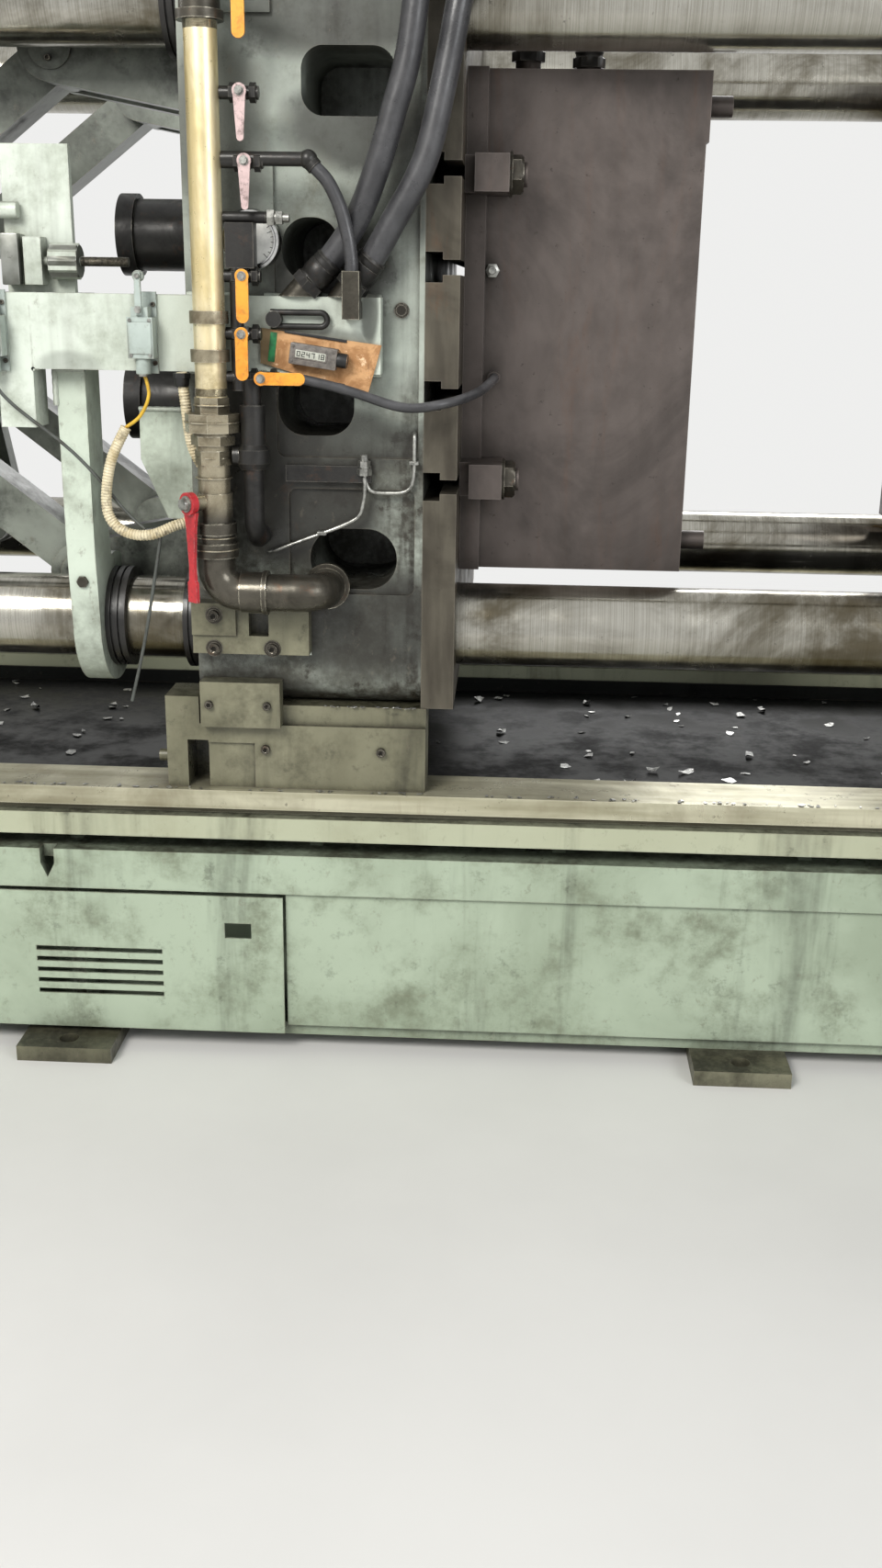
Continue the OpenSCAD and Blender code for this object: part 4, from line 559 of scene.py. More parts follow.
def pipe_finish(name):
    """Yellow passivated pipe: a bright satin skin, darker and stained towards its lower end."""
    t = Tree(name)
    clouds = t.noise(10, 6, 0.7, t.stretched((1, 1, 0.35)), 0.4)
    colour = t.mix(t.step(clouds, 0.36, 0.66), (240, 228, 192), (214, 196, 146))
    z = CENTRE_Z
    low = t.step(t.along(2), z - 0.02, z - 0.106)
    low = t.mul(low, t.step(t.noise(30, 5, 0.7), 0.25, 0.6))
    colour = t.mix(t.mul(low, 0.8), colour, (136, 114, 66))
    specks = t.step(t.noise(70, 5, 0.8), 0.63, 0.70)
    colour = t.mix(t.mul(specks, 0.7), colour, (70, 54, 30))
    scratch = t.step(t.noise(1.0, 4, 0.7, t.stretched((260, 260, 9))), 0.60, 0.68)
    colour = t.mix(t.mul(scratch, 0.3), colour, (244, 238, 210))
    gloss = t.step(t.noise(24, 5, 0.7), 0.3, 0.7, 0.26, 0.42)
    ripple = t.noise(160, 4, 0.6, t.stretched((1, 1, 0.3)))
    return t.finish(colour, gloss, 0.62, t.bump(ripple, 0.08, 0.0004))


# Oily spots on the platen's side: round the valves and pipe, under the windows and by the hose ends
PLATEN_STAINS = [
    (140, -150, 120, 230, 0.98), (205, -300, 130, 110, 0.94), (285, 318, 130, 80, 0.88),
    (305, -500, 170, 110, 0.86), (235, 100, 120, 70, 0.85), (262, -190, 150, 60, 0.80),
    (60, 300, 90, 160, 0.60), (95, -640, 130, 70, 0.75), (245, 480, 170, 75, 0.85),
    (395, 250, 60, 120, 0.60)]


def of(kind, *args, **more):
    """A material of one kind, made under its own name when a piece first asks for it."""
    return lambda name: kind(name, *args, **more)


MAKERS = {
    "platen_paint": of(
        painted, (200, 209, 197), (152, 158, 149), (112, 114, 101), (50, 47, 39), 0.80, 0.85, 0.45, 0.22,
        0.30, seed=0.3, grimy=(CENTRE_Z - 0.02, CENTRE_Z - 0.24, 0.78), stains=PLATEN_STAINS),
    "beam_paint": of(
        painted, (222, 230, 219), (202, 211, 198), (164, 172, 156), (88, 86, 74), 0.42, 0.40, 0.60, 0.15,
        0.34, seed=1.7, stains=[(312, 34, 16, 60, 0.75), (255, -30, 70, 34, 0.6), (-190, -60, 60, 24,
        0.35)]),
    "guide_paint": of(
        painted, (214, 226, 210), (194, 204, 189), (150, 157, 142), (62, 60, 50), 0.50, 0.50, 0.75, 0.15,
        0.32, seed=2.9, grimy=(CENTRE_Z - 0.38, CENTRE_Z - 0.50, 0.45)),
    "bed_paint": of(
        painted, (174, 188, 166), (152, 165, 143), (118, 126, 105), (46, 45, 34), 0.68, 0.66, 0.55, 0.18,
        0.32, seed=4.1, top=(0.425, 0.437, (182, 183, 156))),
    "end_paint": of(
        painted, (188, 197, 184), (152, 160, 147), (112, 118, 102), (48, 46, 37), 0.65, 0.60, 0.45, 0.20,
        0.40, seed=6.2),
    "dirty_paint": of(
        painted, (138, 136, 113), (108, 106, 85), (74, 72, 55), (34, 33, 24), 0.90, 0.85, 0.60, 0.35,
        0.34, seed=8.4),
    "tray_paint": of(
        painted, (30, 32, 30), (21, 23, 22), (16, 17, 15), (9, 9, 8), 0.80, 0.60, 0.20, 0.18, 0.36,
        seed=9.4, specular=0.16),
    # The toggle's paint is darker than the rest: grease, and painted shade of the machine's inside
    "toggle_paint": of(
        painted, (150, 156, 146), (98, 102, 94), (56, 58, 51), (22, 21, 18), 0.95, 0.90, 0.8, 0.25, 0.26,
        stretch=(3, 7, 3), seed=10.2),
    "tank_paint": of(
        painted, (160, 174, 156), (136, 150, 132), (104, 114, 98), (46, 45, 35), 0.55, 0.55, 0.45, 0.20,
        0.44, seed=12.9),
    "grey_paint": of(
        painted, (146, 152, 150), (122, 128, 126), (96, 100, 96), (48, 47, 42), 0.5, 0.45, 0.5, 0.25,
        0.42, seed=14.4),
    "rail_steel": of(
        steel, (206, 203, 178), (168, 164, 138), (108, 99, 74), (0.24, 0.5), 0.50, 0.28, (3, 40, 40), 0.5,
        2.2),
    "bar_steel": of(
        steel, (188, 186, 177), (124, 119, 104), (76, 67, 45), (0.11, 0.30), 0.88, 0.0, (520, 2, 2), 0.94,
        3.1, grain_share=0.45),
    "bright_steel": of(
        steel, (216, 216, 212), (176, 176, 170), (128, 120, 100), (0.12, 0.3), 0.3, 0.0, (400, 4, 4),
        0.95, 5.5, grain_share=0.5),
    "link_steel": of(
        steel, (150, 152, 146), (104, 106, 98), (58, 52, 40), (0.24, 0.46), 0.6, 0.25, (30, 30, 30), 0.7,
        7.3),
    "face_steel": of(
        steel, (98, 93, 81), (70, 65, 56), (44, 38, 29), (0.3, 0.56), 0.75, 0.60, (34, 34, 6), 0.50, 9.9),
    "die_steel": of(
        steel, (98, 90, 86), (76, 69, 65), (50, 46, 43), (0.30, 0.55), 0.55, 0.20, (30, 30, 14), 0.60,
        11.1, grain_share=0.40),
    "fitting_iron": of(cast, (98, 94, 84), (58, 55, 48), 0.28, 0.34, 0.6, 1.0, (206, 200, 182), 1.1, 110),
    "pipe_iron": of(
        cast, (92, 88, 79), (56, 53, 46), 0.25, 0.34, 0.7, 1.0, (222, 216, 196), 1.1, 110, ((CENTRE_Z -
        0.31, CENTRE_Z - 0.27), (CENTRE_Z + 0.30, CENTRE_Z + 0.20), (172, 163, 140), (110, 101, 82))),
    "union_iron": of(
        cast, (178, 168, 144), (108, 98, 78), 0.30, 0.30, 0.80, 1.0, (232, 226, 206), 2.3, 90),
    "black_iron": of(cast, (50, 49, 47), (28, 27, 26), 0.2, 0.42, 0.4, 0.6, seed=3.7),
    "dark_bolt": of(cast, (74, 70, 62), (42, 39, 34), 0.45, 0.42, 0.65, 0.9, (176, 170, 156), 4.9),
    "chrome": of(plain, (206, 206, 204), 0.20, 1.0, 0.08, 60),
    "zinc": of(plain, (176, 176, 170), 0.34, 0.85, 0.18, 70),
    "gear_iron": of(cast, (104, 98, 84), (58, 52, 42), 0.35, 0.44, 0.6, 0.8, seed=6.1),
    "red_grip": of(coated, (196, 44, 52), (150, 32, 40), 0.36, 0.5, 0.7, (226, 190, 188), 0.5, 0.2),
    "orange_grip": of(coated, (244, 166, 56), (226, 138, 36), 0.42, 0.35, 0.5, (236, 216, 170), 1.5),
    "pink_grip": of(coated, (210, 184, 182), (180, 156, 154), 0.5, 0.6, 0.6, (206, 202, 196), 2.5),
    "hose_rubber": of(rubber, (50, 50, 52), (74, 74, 76), 0.8),
    "black_rubber": of(rubber, (24, 23, 22), (40, 38, 36), 2.8),
    "conduit_skin": of(coated, (224, 212, 180), (186, 168, 126), 0.46, 0.55, 0.0, seed=4.6),
    "yellow_wire": of(coated, (226, 186, 60), (196, 150, 40), 0.4, 0.3, 0.0, seed=5.6),
    "grey_wire": of(coated, (84, 88, 84), (60, 62, 58), 0.45, 0.4, 0.0, seed=6.6),
    "switch_metal": of(
        painted, (198, 210, 204), (170, 182, 176), (140, 150, 142), (80, 78, 66), 0.4, 0.3, 0.8, 0.1, 0.4,
        seed=16.0),
    "card": card,
    "counter_case": of(plain, (120, 114, 108), 0.4, 0.0, 0.15, 90),
    "counter_face": of(plain, (190, 192, 180), 0.3, 0.0, 0.05, 60),
    "black_plastic": of(plain, (34, 34, 34), 0.4, 0.0, 0.2, 60),
    "green_tape": of(plain, (30, 128, 72), 0.35, 0.0, 0.15, 60),
    "brass_fitting": of(cast, (196, 160, 84), (142, 112, 56), 0.15, 0.34, 0.9, 0.6, (236, 214, 150), 7.4),
    "chip_metal": of(plain, (206, 206, 202), 0.32, 0.9, 0.2, 120),
    "white_face": of(plain, (222, 222, 216), 0.35, 0.0, 0.05, 50),
    "pipe_yellow": pipe_finish,
}


def material(name):
    if name not in MADE:
        MADE[name] = MAKERS[name](name)
    return MADE[name]


NODE_MATERIALS = {
    "dirty_paint": "sole_plates platen_shoes injection_base",
    "bed_paint": "bed_frame bed_cross_beams bed_panels bed_door",
    "rail_steel": "slide_rails",
    "tray_paint": "drip_tray",
    "end_paint": "tail_platen fixed_platen closing_cylinder shot_frame shot_cylinder",
    "toggle_paint":
        "tail_brackets crosshead rear_link_upper rear_link_lower front_link_upper front_link_lower "
        "short_link_upper short_link_lower platen_brackets",
    "face_steel": "fixed_face_strips moving_face_strips",
    "bar_steel": "tie_bars",
    "gear_iron": "tie_bar_nuts",
    "bright_steel": "guide_rods piston_rod shot_sleeve plunger",
    "platen_paint": "moving_platen",
    "black_rubber": "tie_bar_wipers",
    "black_iron": "ejector_cylinders valve_manifold",
    "beam_paint": "side_beams beam_end_box",
    "guide_paint": "guide_plates",
    "switch_metal": "limit_switch",
    "pipe_yellow": "brass_pipe",
    "pipe_iron": "pipe_fittings",
    "red_grip": "valve_lever",
    "card": "counter_board",
    "orange_grip": "small_lever_1 small_lever_4 small_lever_5 small_lever_6",
    "pink_grip": "small_lever_2 small_lever_3",
    "die_steel": "moving_die fixed_die die_clamps_moving die_clamps_fixed",
    "grey_paint": "accumulators pump_motor",
    "tank_paint": "hydraulic_tank",
    "conduit_skin": "switch_conduit",
    "hose_rubber": "die_hoses",
}
LOOKS = {node: look for look, row in NODE_MATERIALS.items() for node in row.split()}
for name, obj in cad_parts.items():
    obj.data.materials.clear()
    obj.data.materials.append(material(LOOKS[name]))


# ---------------------------------------------------------------- cords

HOSES = [
    ("hose_1", 42, [
        (208, -680, 71), (240, -683, 104), (289, -692, 169), (324, -700, 249), (350, -705, 331),
        (373, -706, 411), (392, -705, 540), (414, -690, 650), (452, -620, 735), (506, -515, 765),
        (546, -422, 710), (560, -380, 590), (560, -380, 450)]),
    ("hose_2", 42, [
        (282, -681, 71), (316, -687, 114), (352, -694, 174), (387, -700, 233), (410, -702, 291),
        (437, -700, 414), (456, -696, 510), (492, -664, 625), (550, -575, 710), (616, -450, 725),
        (658, -350, 660), (668, -310, 560), (668, -310, 450)]),
    ("arm_hose", 22, [
        (229, -725, 248), (250, -727, 226), (269, -728, 188), (281, -728, 145), (286, -728, 110),
        (286, -728, 94)]),
    ("die_hose", 16, [
        (167, -724, -74), (205, -722, -76), (279, -716, -93), (370, -706, -119), (440, -690, -112),
        (490, -620, -98), (514, -530, -82), (514, -458, -82)]),
]
CONDUITS = [
    ("conduit_1", 18, "conduit_skin", [
        (-98, -704, -160), (-125, -706, -214), (-137, -706, -276), (-131, -706, -314),
        (-103, -704, -337), (-64, -698, -340), (-26, -683, -326), (0, -671, -320),
        (19.7, -671, -320)]),
    ("conduit_2", 18, "conduit_skin", [
        (-1, -700, -69), (3, -696, -120), (10, -688, -190), (30, -672, -238), (36, -667, -260),
        (36, -667, -275.7)]),
    ("switch_wire", 6, "yellow_wire", [
        (-62, -707, -72), (-56, -707, -106), (-72, -706, -140), (-98, -704, -160)]),
    ("second_wire", 6, "grey_wire", [
        (-314, -711, -72.3), (-312, -709, -96), (-284, -702, -130), (-208, -692, -192),
        (-160, -690, -240), (-110, -692, -300), (-76, -694, -332)]),
    ("loose_wire", 6, "grey_wire", [
        (-50, -692, -343), (-60, -692, -400), (-86, -690, -527), (-115, -688, -640)]),
]


def ribbed(r):
    """A corrugated skin: a rib each 5 mm."""
    return lambda share, gone: r * (0.99 + 0.07 * math.sin(gone * 1000 * math.tau / 5))


for name, d, route in HOSES:
    path = curve_points([P(*p) for p in route], 14)
    piece = Piece(name, "platen", "hose_rubber", "hose_rubber")
    piece.tube(path, d / 2, 24)
    obj = piece.make()
    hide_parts("die_hoses")

for name, d, skin, route in CONDUITS:
    ribs = skin == "conduit_skin"
    path = curve_points([P(*p) for p in route], 40 if ribs else 12)
    piece = Piece(name, "platen", skin, "conduit_skin")
    piece.tube(path, ribbed(d / 2) if ribs else d / 2, 18 if ribs else 10)
    obj = piece.make()
    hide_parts("switch_conduit")


# ---------------------------------------------------------------- hardware on the operator side

BEAM_FRONT = -SIDE - 40

bolts = Piece("side_bolts", "platen", "dark_bolt")
for x, y, z in ((38, BEAM_FRONT, -480), (36, BEAM_FRONT + 6, -540), (139, BEAM_FRONT + 6, -539)):
    bolts.lathe(P(x, y, z), FRONT, [(0, 0), (0, 15), (1.5, 15), (1.5, 0)])
    bolts.socket_screw(P(x, y, z), FRONT, 12, 20)
for z in (85, 127):
    bolts.socket_screw(P(-293.5, -SIDE + 18, z), FRONT, 9, 15)
bolts.hex_bolt(P(361, -SIDE + 8, 34), FRONT, 12)
bolts.hex_bolt(P(-204, -640, -435), FRONT, 13)
for x in (24, 128):
    bolts.socket_screw(P(x, -SIDE - 40, -642), FRONT, 9, 14)
for x in (120, 330):
    bolts.socket_screw(P(x, -665, -730), FRONT, 10, 16)
for x, z in ((-62, 38), (-62, -55), (-314, 38), (-314, -55)):
    bolts.socket_screw(P(x + 17, BEAM_FRONT - 6, z), FRONT, 4, 8)
bolts.make()

LEVERS = [(117, 500, 26), (116, 355, 26), (121, 255, 26), (113, 84, 26), (112, -5, 37), (140, -74, 26)]
VALVE_Y = -724
LEVER_T = 5.3
for i, (x, z, stem) in enumerate(LEVERS):
    nut = Piece(f"lever_nut_{i + 1}", f"small_lever_{i + 1}", "zinc")
    nut.hex_bolt(P(x, VALVE_Y - stem - LEVER_T, z), FRONT, 7, turn=0.4 * i)
    nut.make()

VALVE_WAY = Vector((-0.64279, -0.76604, 0))
nut = Piece("valve_lever_bolt", "valve_lever", "zinc")
nut.hex_bolt(P(54, -730, -276) + VALVE_WAY * 0.0604, VALVE_WAY, 13, turn=0.3)
nut.make()

fittings = Piece("small_hex_fittings", "platen", "zinc", "fitting_iron")
for x, z, _ in LEVERS:
    fittings.lathe(P(x - 6, VALVE_Y, z), END, [
        (0, 9), (0, 11.5), (3, 12.2), (4, 11), (6, 12.2), (8, 11), (10, 12.2), (12, 11.5), (12, 9)
    ], 20)
    fittings.lathe(P(x, VALVE_Y - 9, z), FRONT, [
        (0, 4), (0, ("hex", 9)), (7, ("hex", 9)), (8, 7), (8, 4)
    ], 24)
for x, y, z, way in ((300, -664, -236, UP), (152, VALVE_Y, 173, END), (507, -430, 101, FRONT)):
    fittings.lathe(P(x, y, z), way, [
        (0, 0), (0, ("hex", 13)), (11, ("hex", 13)), (12, 9), (14, 9), (14, ("hex", 11)), (24, ("hex", 11)),
        (25, 7), (34, 7), (35, 6), (35, 0)
    ], 24)
fittings.make()

collars = Piece("conduit_glands", "platen", "black_plastic")
for at, way in (
    (P(20, -671, -320), BACK), (P(36, -667, -276), UP), (P(-1, -700, -70), DOWN)
):
    collars.lathe(at, way, [
        (0, 0), (0, ("hex", 15)), (8, ("hex", 15)), (9, 13), (20, 12), (22, 10.5), (22, 0)
    ], 24)
collars.make()

rings = Piece("hose_ferrules", "platen", "black_iron")
for _, d, route in HOSES[:2]:
    for a, b in ((route[0], route[1]), (route[-1], route[-2])):
        way = (P(*b) - P(*a)).normalized()
        r = d / 2
        rings.lathe(P(*a) - way * 0.004, way, [
            (0, r), (0, ("hex", r + 8)), (16, ("hex", r + 8)), (18, r + 3), (22, r + 3), (24, r + 4.5),
            (44, r + 4.5), (46, r + 3.2), (50, r + 4.2), (54, r + 3.2), (58, r + 4.2), (62, r + 2.2),
            (62, r - 1)
        ], 30)
rings.make()


def pipe_at(z):
    """A place on the upright pipe's axis."""
    return P(54, -730, z)


threads = Piece("pipe_threads", "platen", "union_iron")
for z0 in (-104, 443):
    profile = [(0, 25)]
    for k in range(7):
        profile += [(k * 1.8, 26.2), (k * 1.8 + 0.9, 27.1)]
    threads.lathe(pipe_at(z0), UP, profile + [(13, 25)], 36)
for z, r in ((-147, 47), (-120, 30.5), (-205, 28.5), (-238, 31.5), (-337, 34.5), (-357, 39)):
    threads.lathe(pipe_at(z), UP, [(0, r - 2), (0.6, r), (2.4, r), (3, r - 2)], 32)
threads.make()


def gauge_at(y):
    """A place on the pressure gauge's axis."""
    return P(116, y, 140)


gauge = Piece("gauge_ring", "platen", "chrome")
gauge.lathe(gauge_at(-669), FRONT, [
    (0, 44), (0, 48.5), (9, 49), (13, 46.5), (13, 42), (10, 40.5), (10, 38), (0, 38)
], 48)
gauge.make()
face = Piece("gauge_face", "platen", "white_face")
face.lathe(gauge_at(-670.5), FRONT, [(0, 0), (0, 40.3), (5.5, 40.3), (6, 39.6), (6, 0)], 48)
face.make()
marks = Piece("gauge_marks", "platen", "black_plastic")
for k in range(21):
    a = math.radians(225 - 13.5 * k)
    turn = Matrix.Rotation(math.radians(90) - a, 3, "Y")
    long = k % 5 == 0
    marks.box(gauge_at(-676.6), (-0.5, -0.3, 29 if long else 33), (0.5, 0.2, 38), 0, turn)
marks.box(gauge_at(-678), (-1.1, -0.4, -9), (1.1, 0.4, 31), 0.3, turned(-70))
marks.lathe(gauge_at(-676.5), FRONT, [(0, 0), (0, 5), (2.6, 4.4), (3.2, 0)], 20)
marks.make()

# The counter: its box stands at a slant on the board
TILT = turned(8)
COUNTER = P(186, BEAM_FRONT - 6, -18)


def on_counter(x, y, z):
    return COUNTER + TILT @ Vector((x, y, z)) / 1000


case = Piece("counter_box", "platen", "counter_case", "switch_metal")
case.box(COUNTER, (-1, -25, -33), (77, 0, 1), 2.0, TILT)
case.box(COUNTER, (6, -26.5, -23), (62, -24.8, -7), 0.6, TILT)
for x in (4, 72):
    for z in (-4.5, -27.5):
        case.lathe(on_counter(x, -25, z), FRONT, [(0, 0), (0, 2.4), (1.2, 1.9), (1.2, 0)], 12)
case.make()
display = Piece("counter_window", "platen", "counter_face", "switch_metal")
display.box(COUNTER, (9, -26.8, -21), (59, -26.2, -9), 0.2, TILT)
display.make()

SEGMENTS = {"0": "abcdef", "1": "bc", "2": "abged", "4": "fgbc", "7": "abc", "8": "abcdefg"}


def digit(piece, at, text, w, h, t, turn):
    """A seven-stroke figure in the X-Z plane."""
    m = h / 2
    strokes = {
        "a": (0, h, w, h), "b": (w, m, w, h), "c": (w, 0, w, m), "d": (0, 0, w, 0), "e": (0, 0, 0, m),
        "f": (0, m, 0, h), "g": (0, m, w, m)
    }
    for s in SEGMENTS[text]:
        x0, z0, x1, z1 = strokes[s]
        piece.box(at, (x0 - t, -0.3, z0 - t), (x1 + t, 0.1, z1 + t), 0, turn)


figures = Piece("counter_figures", "platen", "black_plastic", "switch_metal")
for k, c in enumerate("024718"):
    digit(figures, on_counter(12 + 8 * k, -26.9, -18.5), c, 4.4, 7, 0.55, TILT)
figures.lathe(on_counter(76, -12, -16), TILT @ Vector((1, 0, 0)), [
    (0, 0), (0, 11.6), (2, 12), (16, 12), (18.4, 10.6), (18.4, 0)
], 28)
figures.make()
tape = Piece("board_tape", "platen", "green_tape", "card")
tape.box(P(146, BEAM_FRONT - 6.4, -26), (0, -0.5, -23), (11, 0.4, 24), 0.2, turned(7))
tape.make()
straps = Piece("board_straps", "platen", "black_plastic", "switch_metal")
for x, z, length in ((172, -1, 104), (176, -72, 96)):
    straps.box(P(x, BEAM_FRONT - 7, z), (0, -1.2, -2.2), (length, 0.6, 2.2), 0.5, TILT)
straps.make()

# Thin bright tube on the platen's side, below the windows
thin = Piece("lubrication_tube", "platen", "zinc", "brass_pipe")
for route in (
    [
        (300, -664, -240), (301, -664, -262), (298, -662, -283), (290, -662, -306),
        (262, -662, -323), (200, -662, -347), (150, -662, -366), (136, -658, -371),
        (130, -649, -373)],
    [
        (300, -662, -236), (310, -660, -262), (340, -659, -266), (372, -659, -262),
        (384, -659, -240), (385, -659, -190), (385, -656, -170), (385, -649, -166)],
):
    thin.tube(curve_points([P(*p) for p in route], 8), 3.4, 12)
thin.make()
clips = Piece("tube_clips", "platen", "zinc", "fitting_iron")
for x, z in ((226, -337), (385, -214)):
    clips.box(P(x, -SIDE, z), (-8, -16, -3), (8, 0.5, 3), 1.0)
    clips.hex_bolt(P(x + 4, -SIDE - 16, z), FRONT, 4, False)
clips.make()

# Limit switches: cover screws, gland nuts, roller pins
switches = Piece("switch_screws", "platen", "zinc", "switch_metal")
for x in (-62, -314):
    for dx in (-16, 16):
        for z in (-42, 13):
            switches.lathe(P(x + dx, BEAM_FRONT - 36, z), FRONT, [
                (0, 0), (0, 3.4), (1.6, 2.8), (1.6, 0)
            ], 16)
    switches.lathe(P(x, BEAM_FRONT - 40, 82), FRONT, [(0, 0), (0, 4.5), (3, 4), (3, 0)], 16)
    switches.lathe(P(x, BEAM_FRONT - 40, 30), FRONT, [(0, 0), (0, ("hex", 6)), (5, ("hex", 6)), (5, 0)], 24)
    switches.lathe(P(x, BEAM_FRONT - 21, -72), DOWN, [(0, 0), (0, 9), (4, 8), (4, 3.4), (0, 3.4)], 20)
switches.make()
covers = Piece("switch_covers", "platen", "switch_metal", "switch_metal")
for x in (-62, -314):
    covers.box(P(x, BEAM_FRONT - 36, -15), (-19, -2.2, -25), (19, 0.4, 25), 1.6)
covers.make()

# Bare steel of the stroke stop: nut, block, rod and screw
stop = Piece("stop_nut_and_block", "platen", "link_steel", "link_steel")
stop.lathe(P(-229.6, -628, 104), END, [
    (0, 14), (0, 26), (2, ("hex", 29.6)), (47, ("hex", 29.6)), (49.2, 26), (49.2, 14)
], 36)
stop.box(P(-293.5, -641, 106), (-15.2, -10.2, -41), (15.2, 9.6, 41), 2.5)
stop.make()
screw = Piece("stop_screw_thread", "platen", "dark_bolt", "bar_steel")
profile = [(0, 6)]
for k in range(38):
    profile += [(k * 2.1, 7.15), (k * 2.1 + 1.05, 8.0)]
screw.lathe(P(-179, -628, 104), END, profile + [(80.5, 7.15), (80.5, 0)], 20)
screw.make()
rod = Piece("stop_rod", "platen", "bright_steel", "bar_steel")
rod.lathe(P(-380.3, -622, 184), END, [(0, 0), (0, 12), (1.5, 13.7), (66, 13.7), (66, 12)], 32)
rod.make()

# Weld beads on the moving clamp's plates
beads = Piece("side_welds", "platen", "beam_paint", "aged_paint")
for a, b, r in (
    ((-254, -690, -68), (-254, -652, -68), 4), ((-228, -650, -70), (-178, -650, -70), 5),
    ((-230, -650, -130), (-230, -650, -66), 5), ((-102, -592, -137), (-2, -592, -137), 4),
    ((2, -650, -70), (150, -650, -70), 4), ((230, -650, -70), (328, -650, -70), 4),
    ((2, -651, 55), (84, -651, 55), 4), ((132, -651, 55), (328, -651, 55), 4),
    ((-2, -650, -553), (204, -650, -553), 4),
):
    beads.weld(P(*a), P(*b), r)
beads.make()

# ---------------------------------------------------------------- die and platen hardware

CLAMP_Z = (CENTRE_Z - 0.255, CENTRE_Z + 0.255)
CLAMP_Y = 0.513
for body, name, x, way in (
    ("platen", "moving_clamp_nuts", -0.4769, 1), ("base", "fixed_clamp_nuts", 0.6475, -1)
):
    nuts = Piece(name, body, "dark_bolt", "dark_steel")
    for y in (-CLAMP_Y, CLAMP_Y):
        for z in CLAMP_Z:
            nuts.lathe((x, y, z), (way, 0, 0), [
                (0, 20.5), (0, 37), (5, 37), (5, ("hex", 33)), (20, ("hex", 33)), (24, 28), (24, 20.5)
            ], 36, 0.3)
    nuts.make()

eyes = Piece("platen_eye_bolts", "platen", "dark_bolt", "fitting_iron")
fixed_eyes = Piece("plate_eye_bolts", "base", "dark_bolt", "fitting_iron")


def eye_bolt(piece, at, r=26, thick=7):
    piece.lathe(at, UP, [(0, 0), (0, 24), (6, 24), (10, 12), (16, 10), (16, 0)], 24)
    ring = [Vector(at) + Vector((r * math.cos(a), 0, 12 + r + r * math.sin(a))) / 1000
            for a in (math.tau * k / 28 for k in range(28))]
    piece.tube(ring + ring[:1], thick, 12)


for y in (-350, 350):
    eye_bolt(eyes, P(200, y, 650))
for x in (0.90, -2.37):
    for y in (-0.4, 0.4):
        eye_bolt(fixed_eyes, (x, y, 2.01))
eye_bolt(eyes, P(600, 300, 430), 20, 6)
eye_bolt(fixed_eyes, (0.57, 0.25, 1.76), 20, 6)
eyes.make()
fixed_eyes.make()

nipples = Piece("die_water_nipples", "platen", "brass_fitting", "brass_pipe")
fixed_nipples = Piece("fixed_die_nipples", "base", "brass_fitting", "brass_pipe")
NIPPLE = [
    (0, 0), (0, ("hex", 14)), (12, ("hex", 14)), (13, 8), (17, 8), (19, 9.6), (23, 7.6), (25, 9.6),
    (29, 7.6), (31, 9.6), (36, 6.5), (36, 0)
]
for x in (560, 640, 720, 800):
    for z in (-300, -210):
        nipples.lathe(P(x, 430, z), (0, 1, 0), NIPPLE, 24, x)
for x in (0.48, 0.56, 0.64):
    for z in (-340, -250):
        fixed_nipples.lathe((x, 0.43, CENTRE_Z + z / 1000), (0, 1, 0), NIPPLE, 24, x)
nipples.make()
fixed_nipples.make()

# ---------------------------------------------------------------- toggle, cylinders and tie bars

base_bolts = Piece("flange_bolts", "base", "dark_bolt", "fitting_iron")
base_bolts.bolt_circle((-2.5333, 0, CENTRE_Z), BACK, 177, 16, "hex", 18)
base_bolts.bolt_circle((-3.3218, 0, CENTRE_Z), BACK, 140, 12, "socket", 18)
base_bolts.bolt_circle((2.6815, 0, 1.19), END, 125, 12, "socket", 16)
base_bolts.bolt_circle((1.8435, 0, 1.19), END, 168, 10, "socket", 16)
for y in (-PITCH, PITCH):
    for z in (CENTRE_Z - PITCH, CENTRE_Z + PITCH):
        base_bolts.bolt_circle((1.1532, y, z), END, 97, 8, "socket", 12)
        base_bolts.bolt_circle((-2.6032, y, z), BACK, 97, 8, "socket", 12)
for x in (1.30825, 1.67825):
    base_bolts.bolt_circle((x, -0.394, 0.32), FRONT, 142, 12, "hex", 10)
base_bolts.make()

caps = Piece("tie_bar_caps", "base", "bright_steel", "bar_steel")
for y in (-PITCH, PITCH):
    for z in (CENTRE_Z - PITCH, CENTRE_Z + PITCH):
        for x, way in ((1.1932, 1), (-2.6432, -1)):
            caps.lathe((x, y, z), (way, 0, 0), [(0, 0), (0, 62), (3, 58), (3, 30), (1, 26), (1, 0)], 40)
caps.make()

LINK_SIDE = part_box("rear_link_upper")[1].y
CROSSHEAD_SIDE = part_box("crosshead")[1].y
PLUG = [(0, 0), (0, ("hex", 6)), (4, ("hex", 6)), (5, 3.2), (9, 3.2), (11, 2.2), (11, 0)]


def keepers(name, body, pins, side, radius, d, grease=False):
    """Screws round the ends of the link pins, and a grease nipple in each where the link carries one."""
    piece = Piece(name, body, "dark_bolt", "fitting_iron")
    for x, z in pins:
        for s in (-1, 1):
            piece.bolt_circle((x, side * s, z), (0, s, 0), radius, 3, "socket", d, 0.2)
            if grease:
                piece.lathe((x, side * s, z), (0, s, 0), PLUG, 18)
    piece.make()


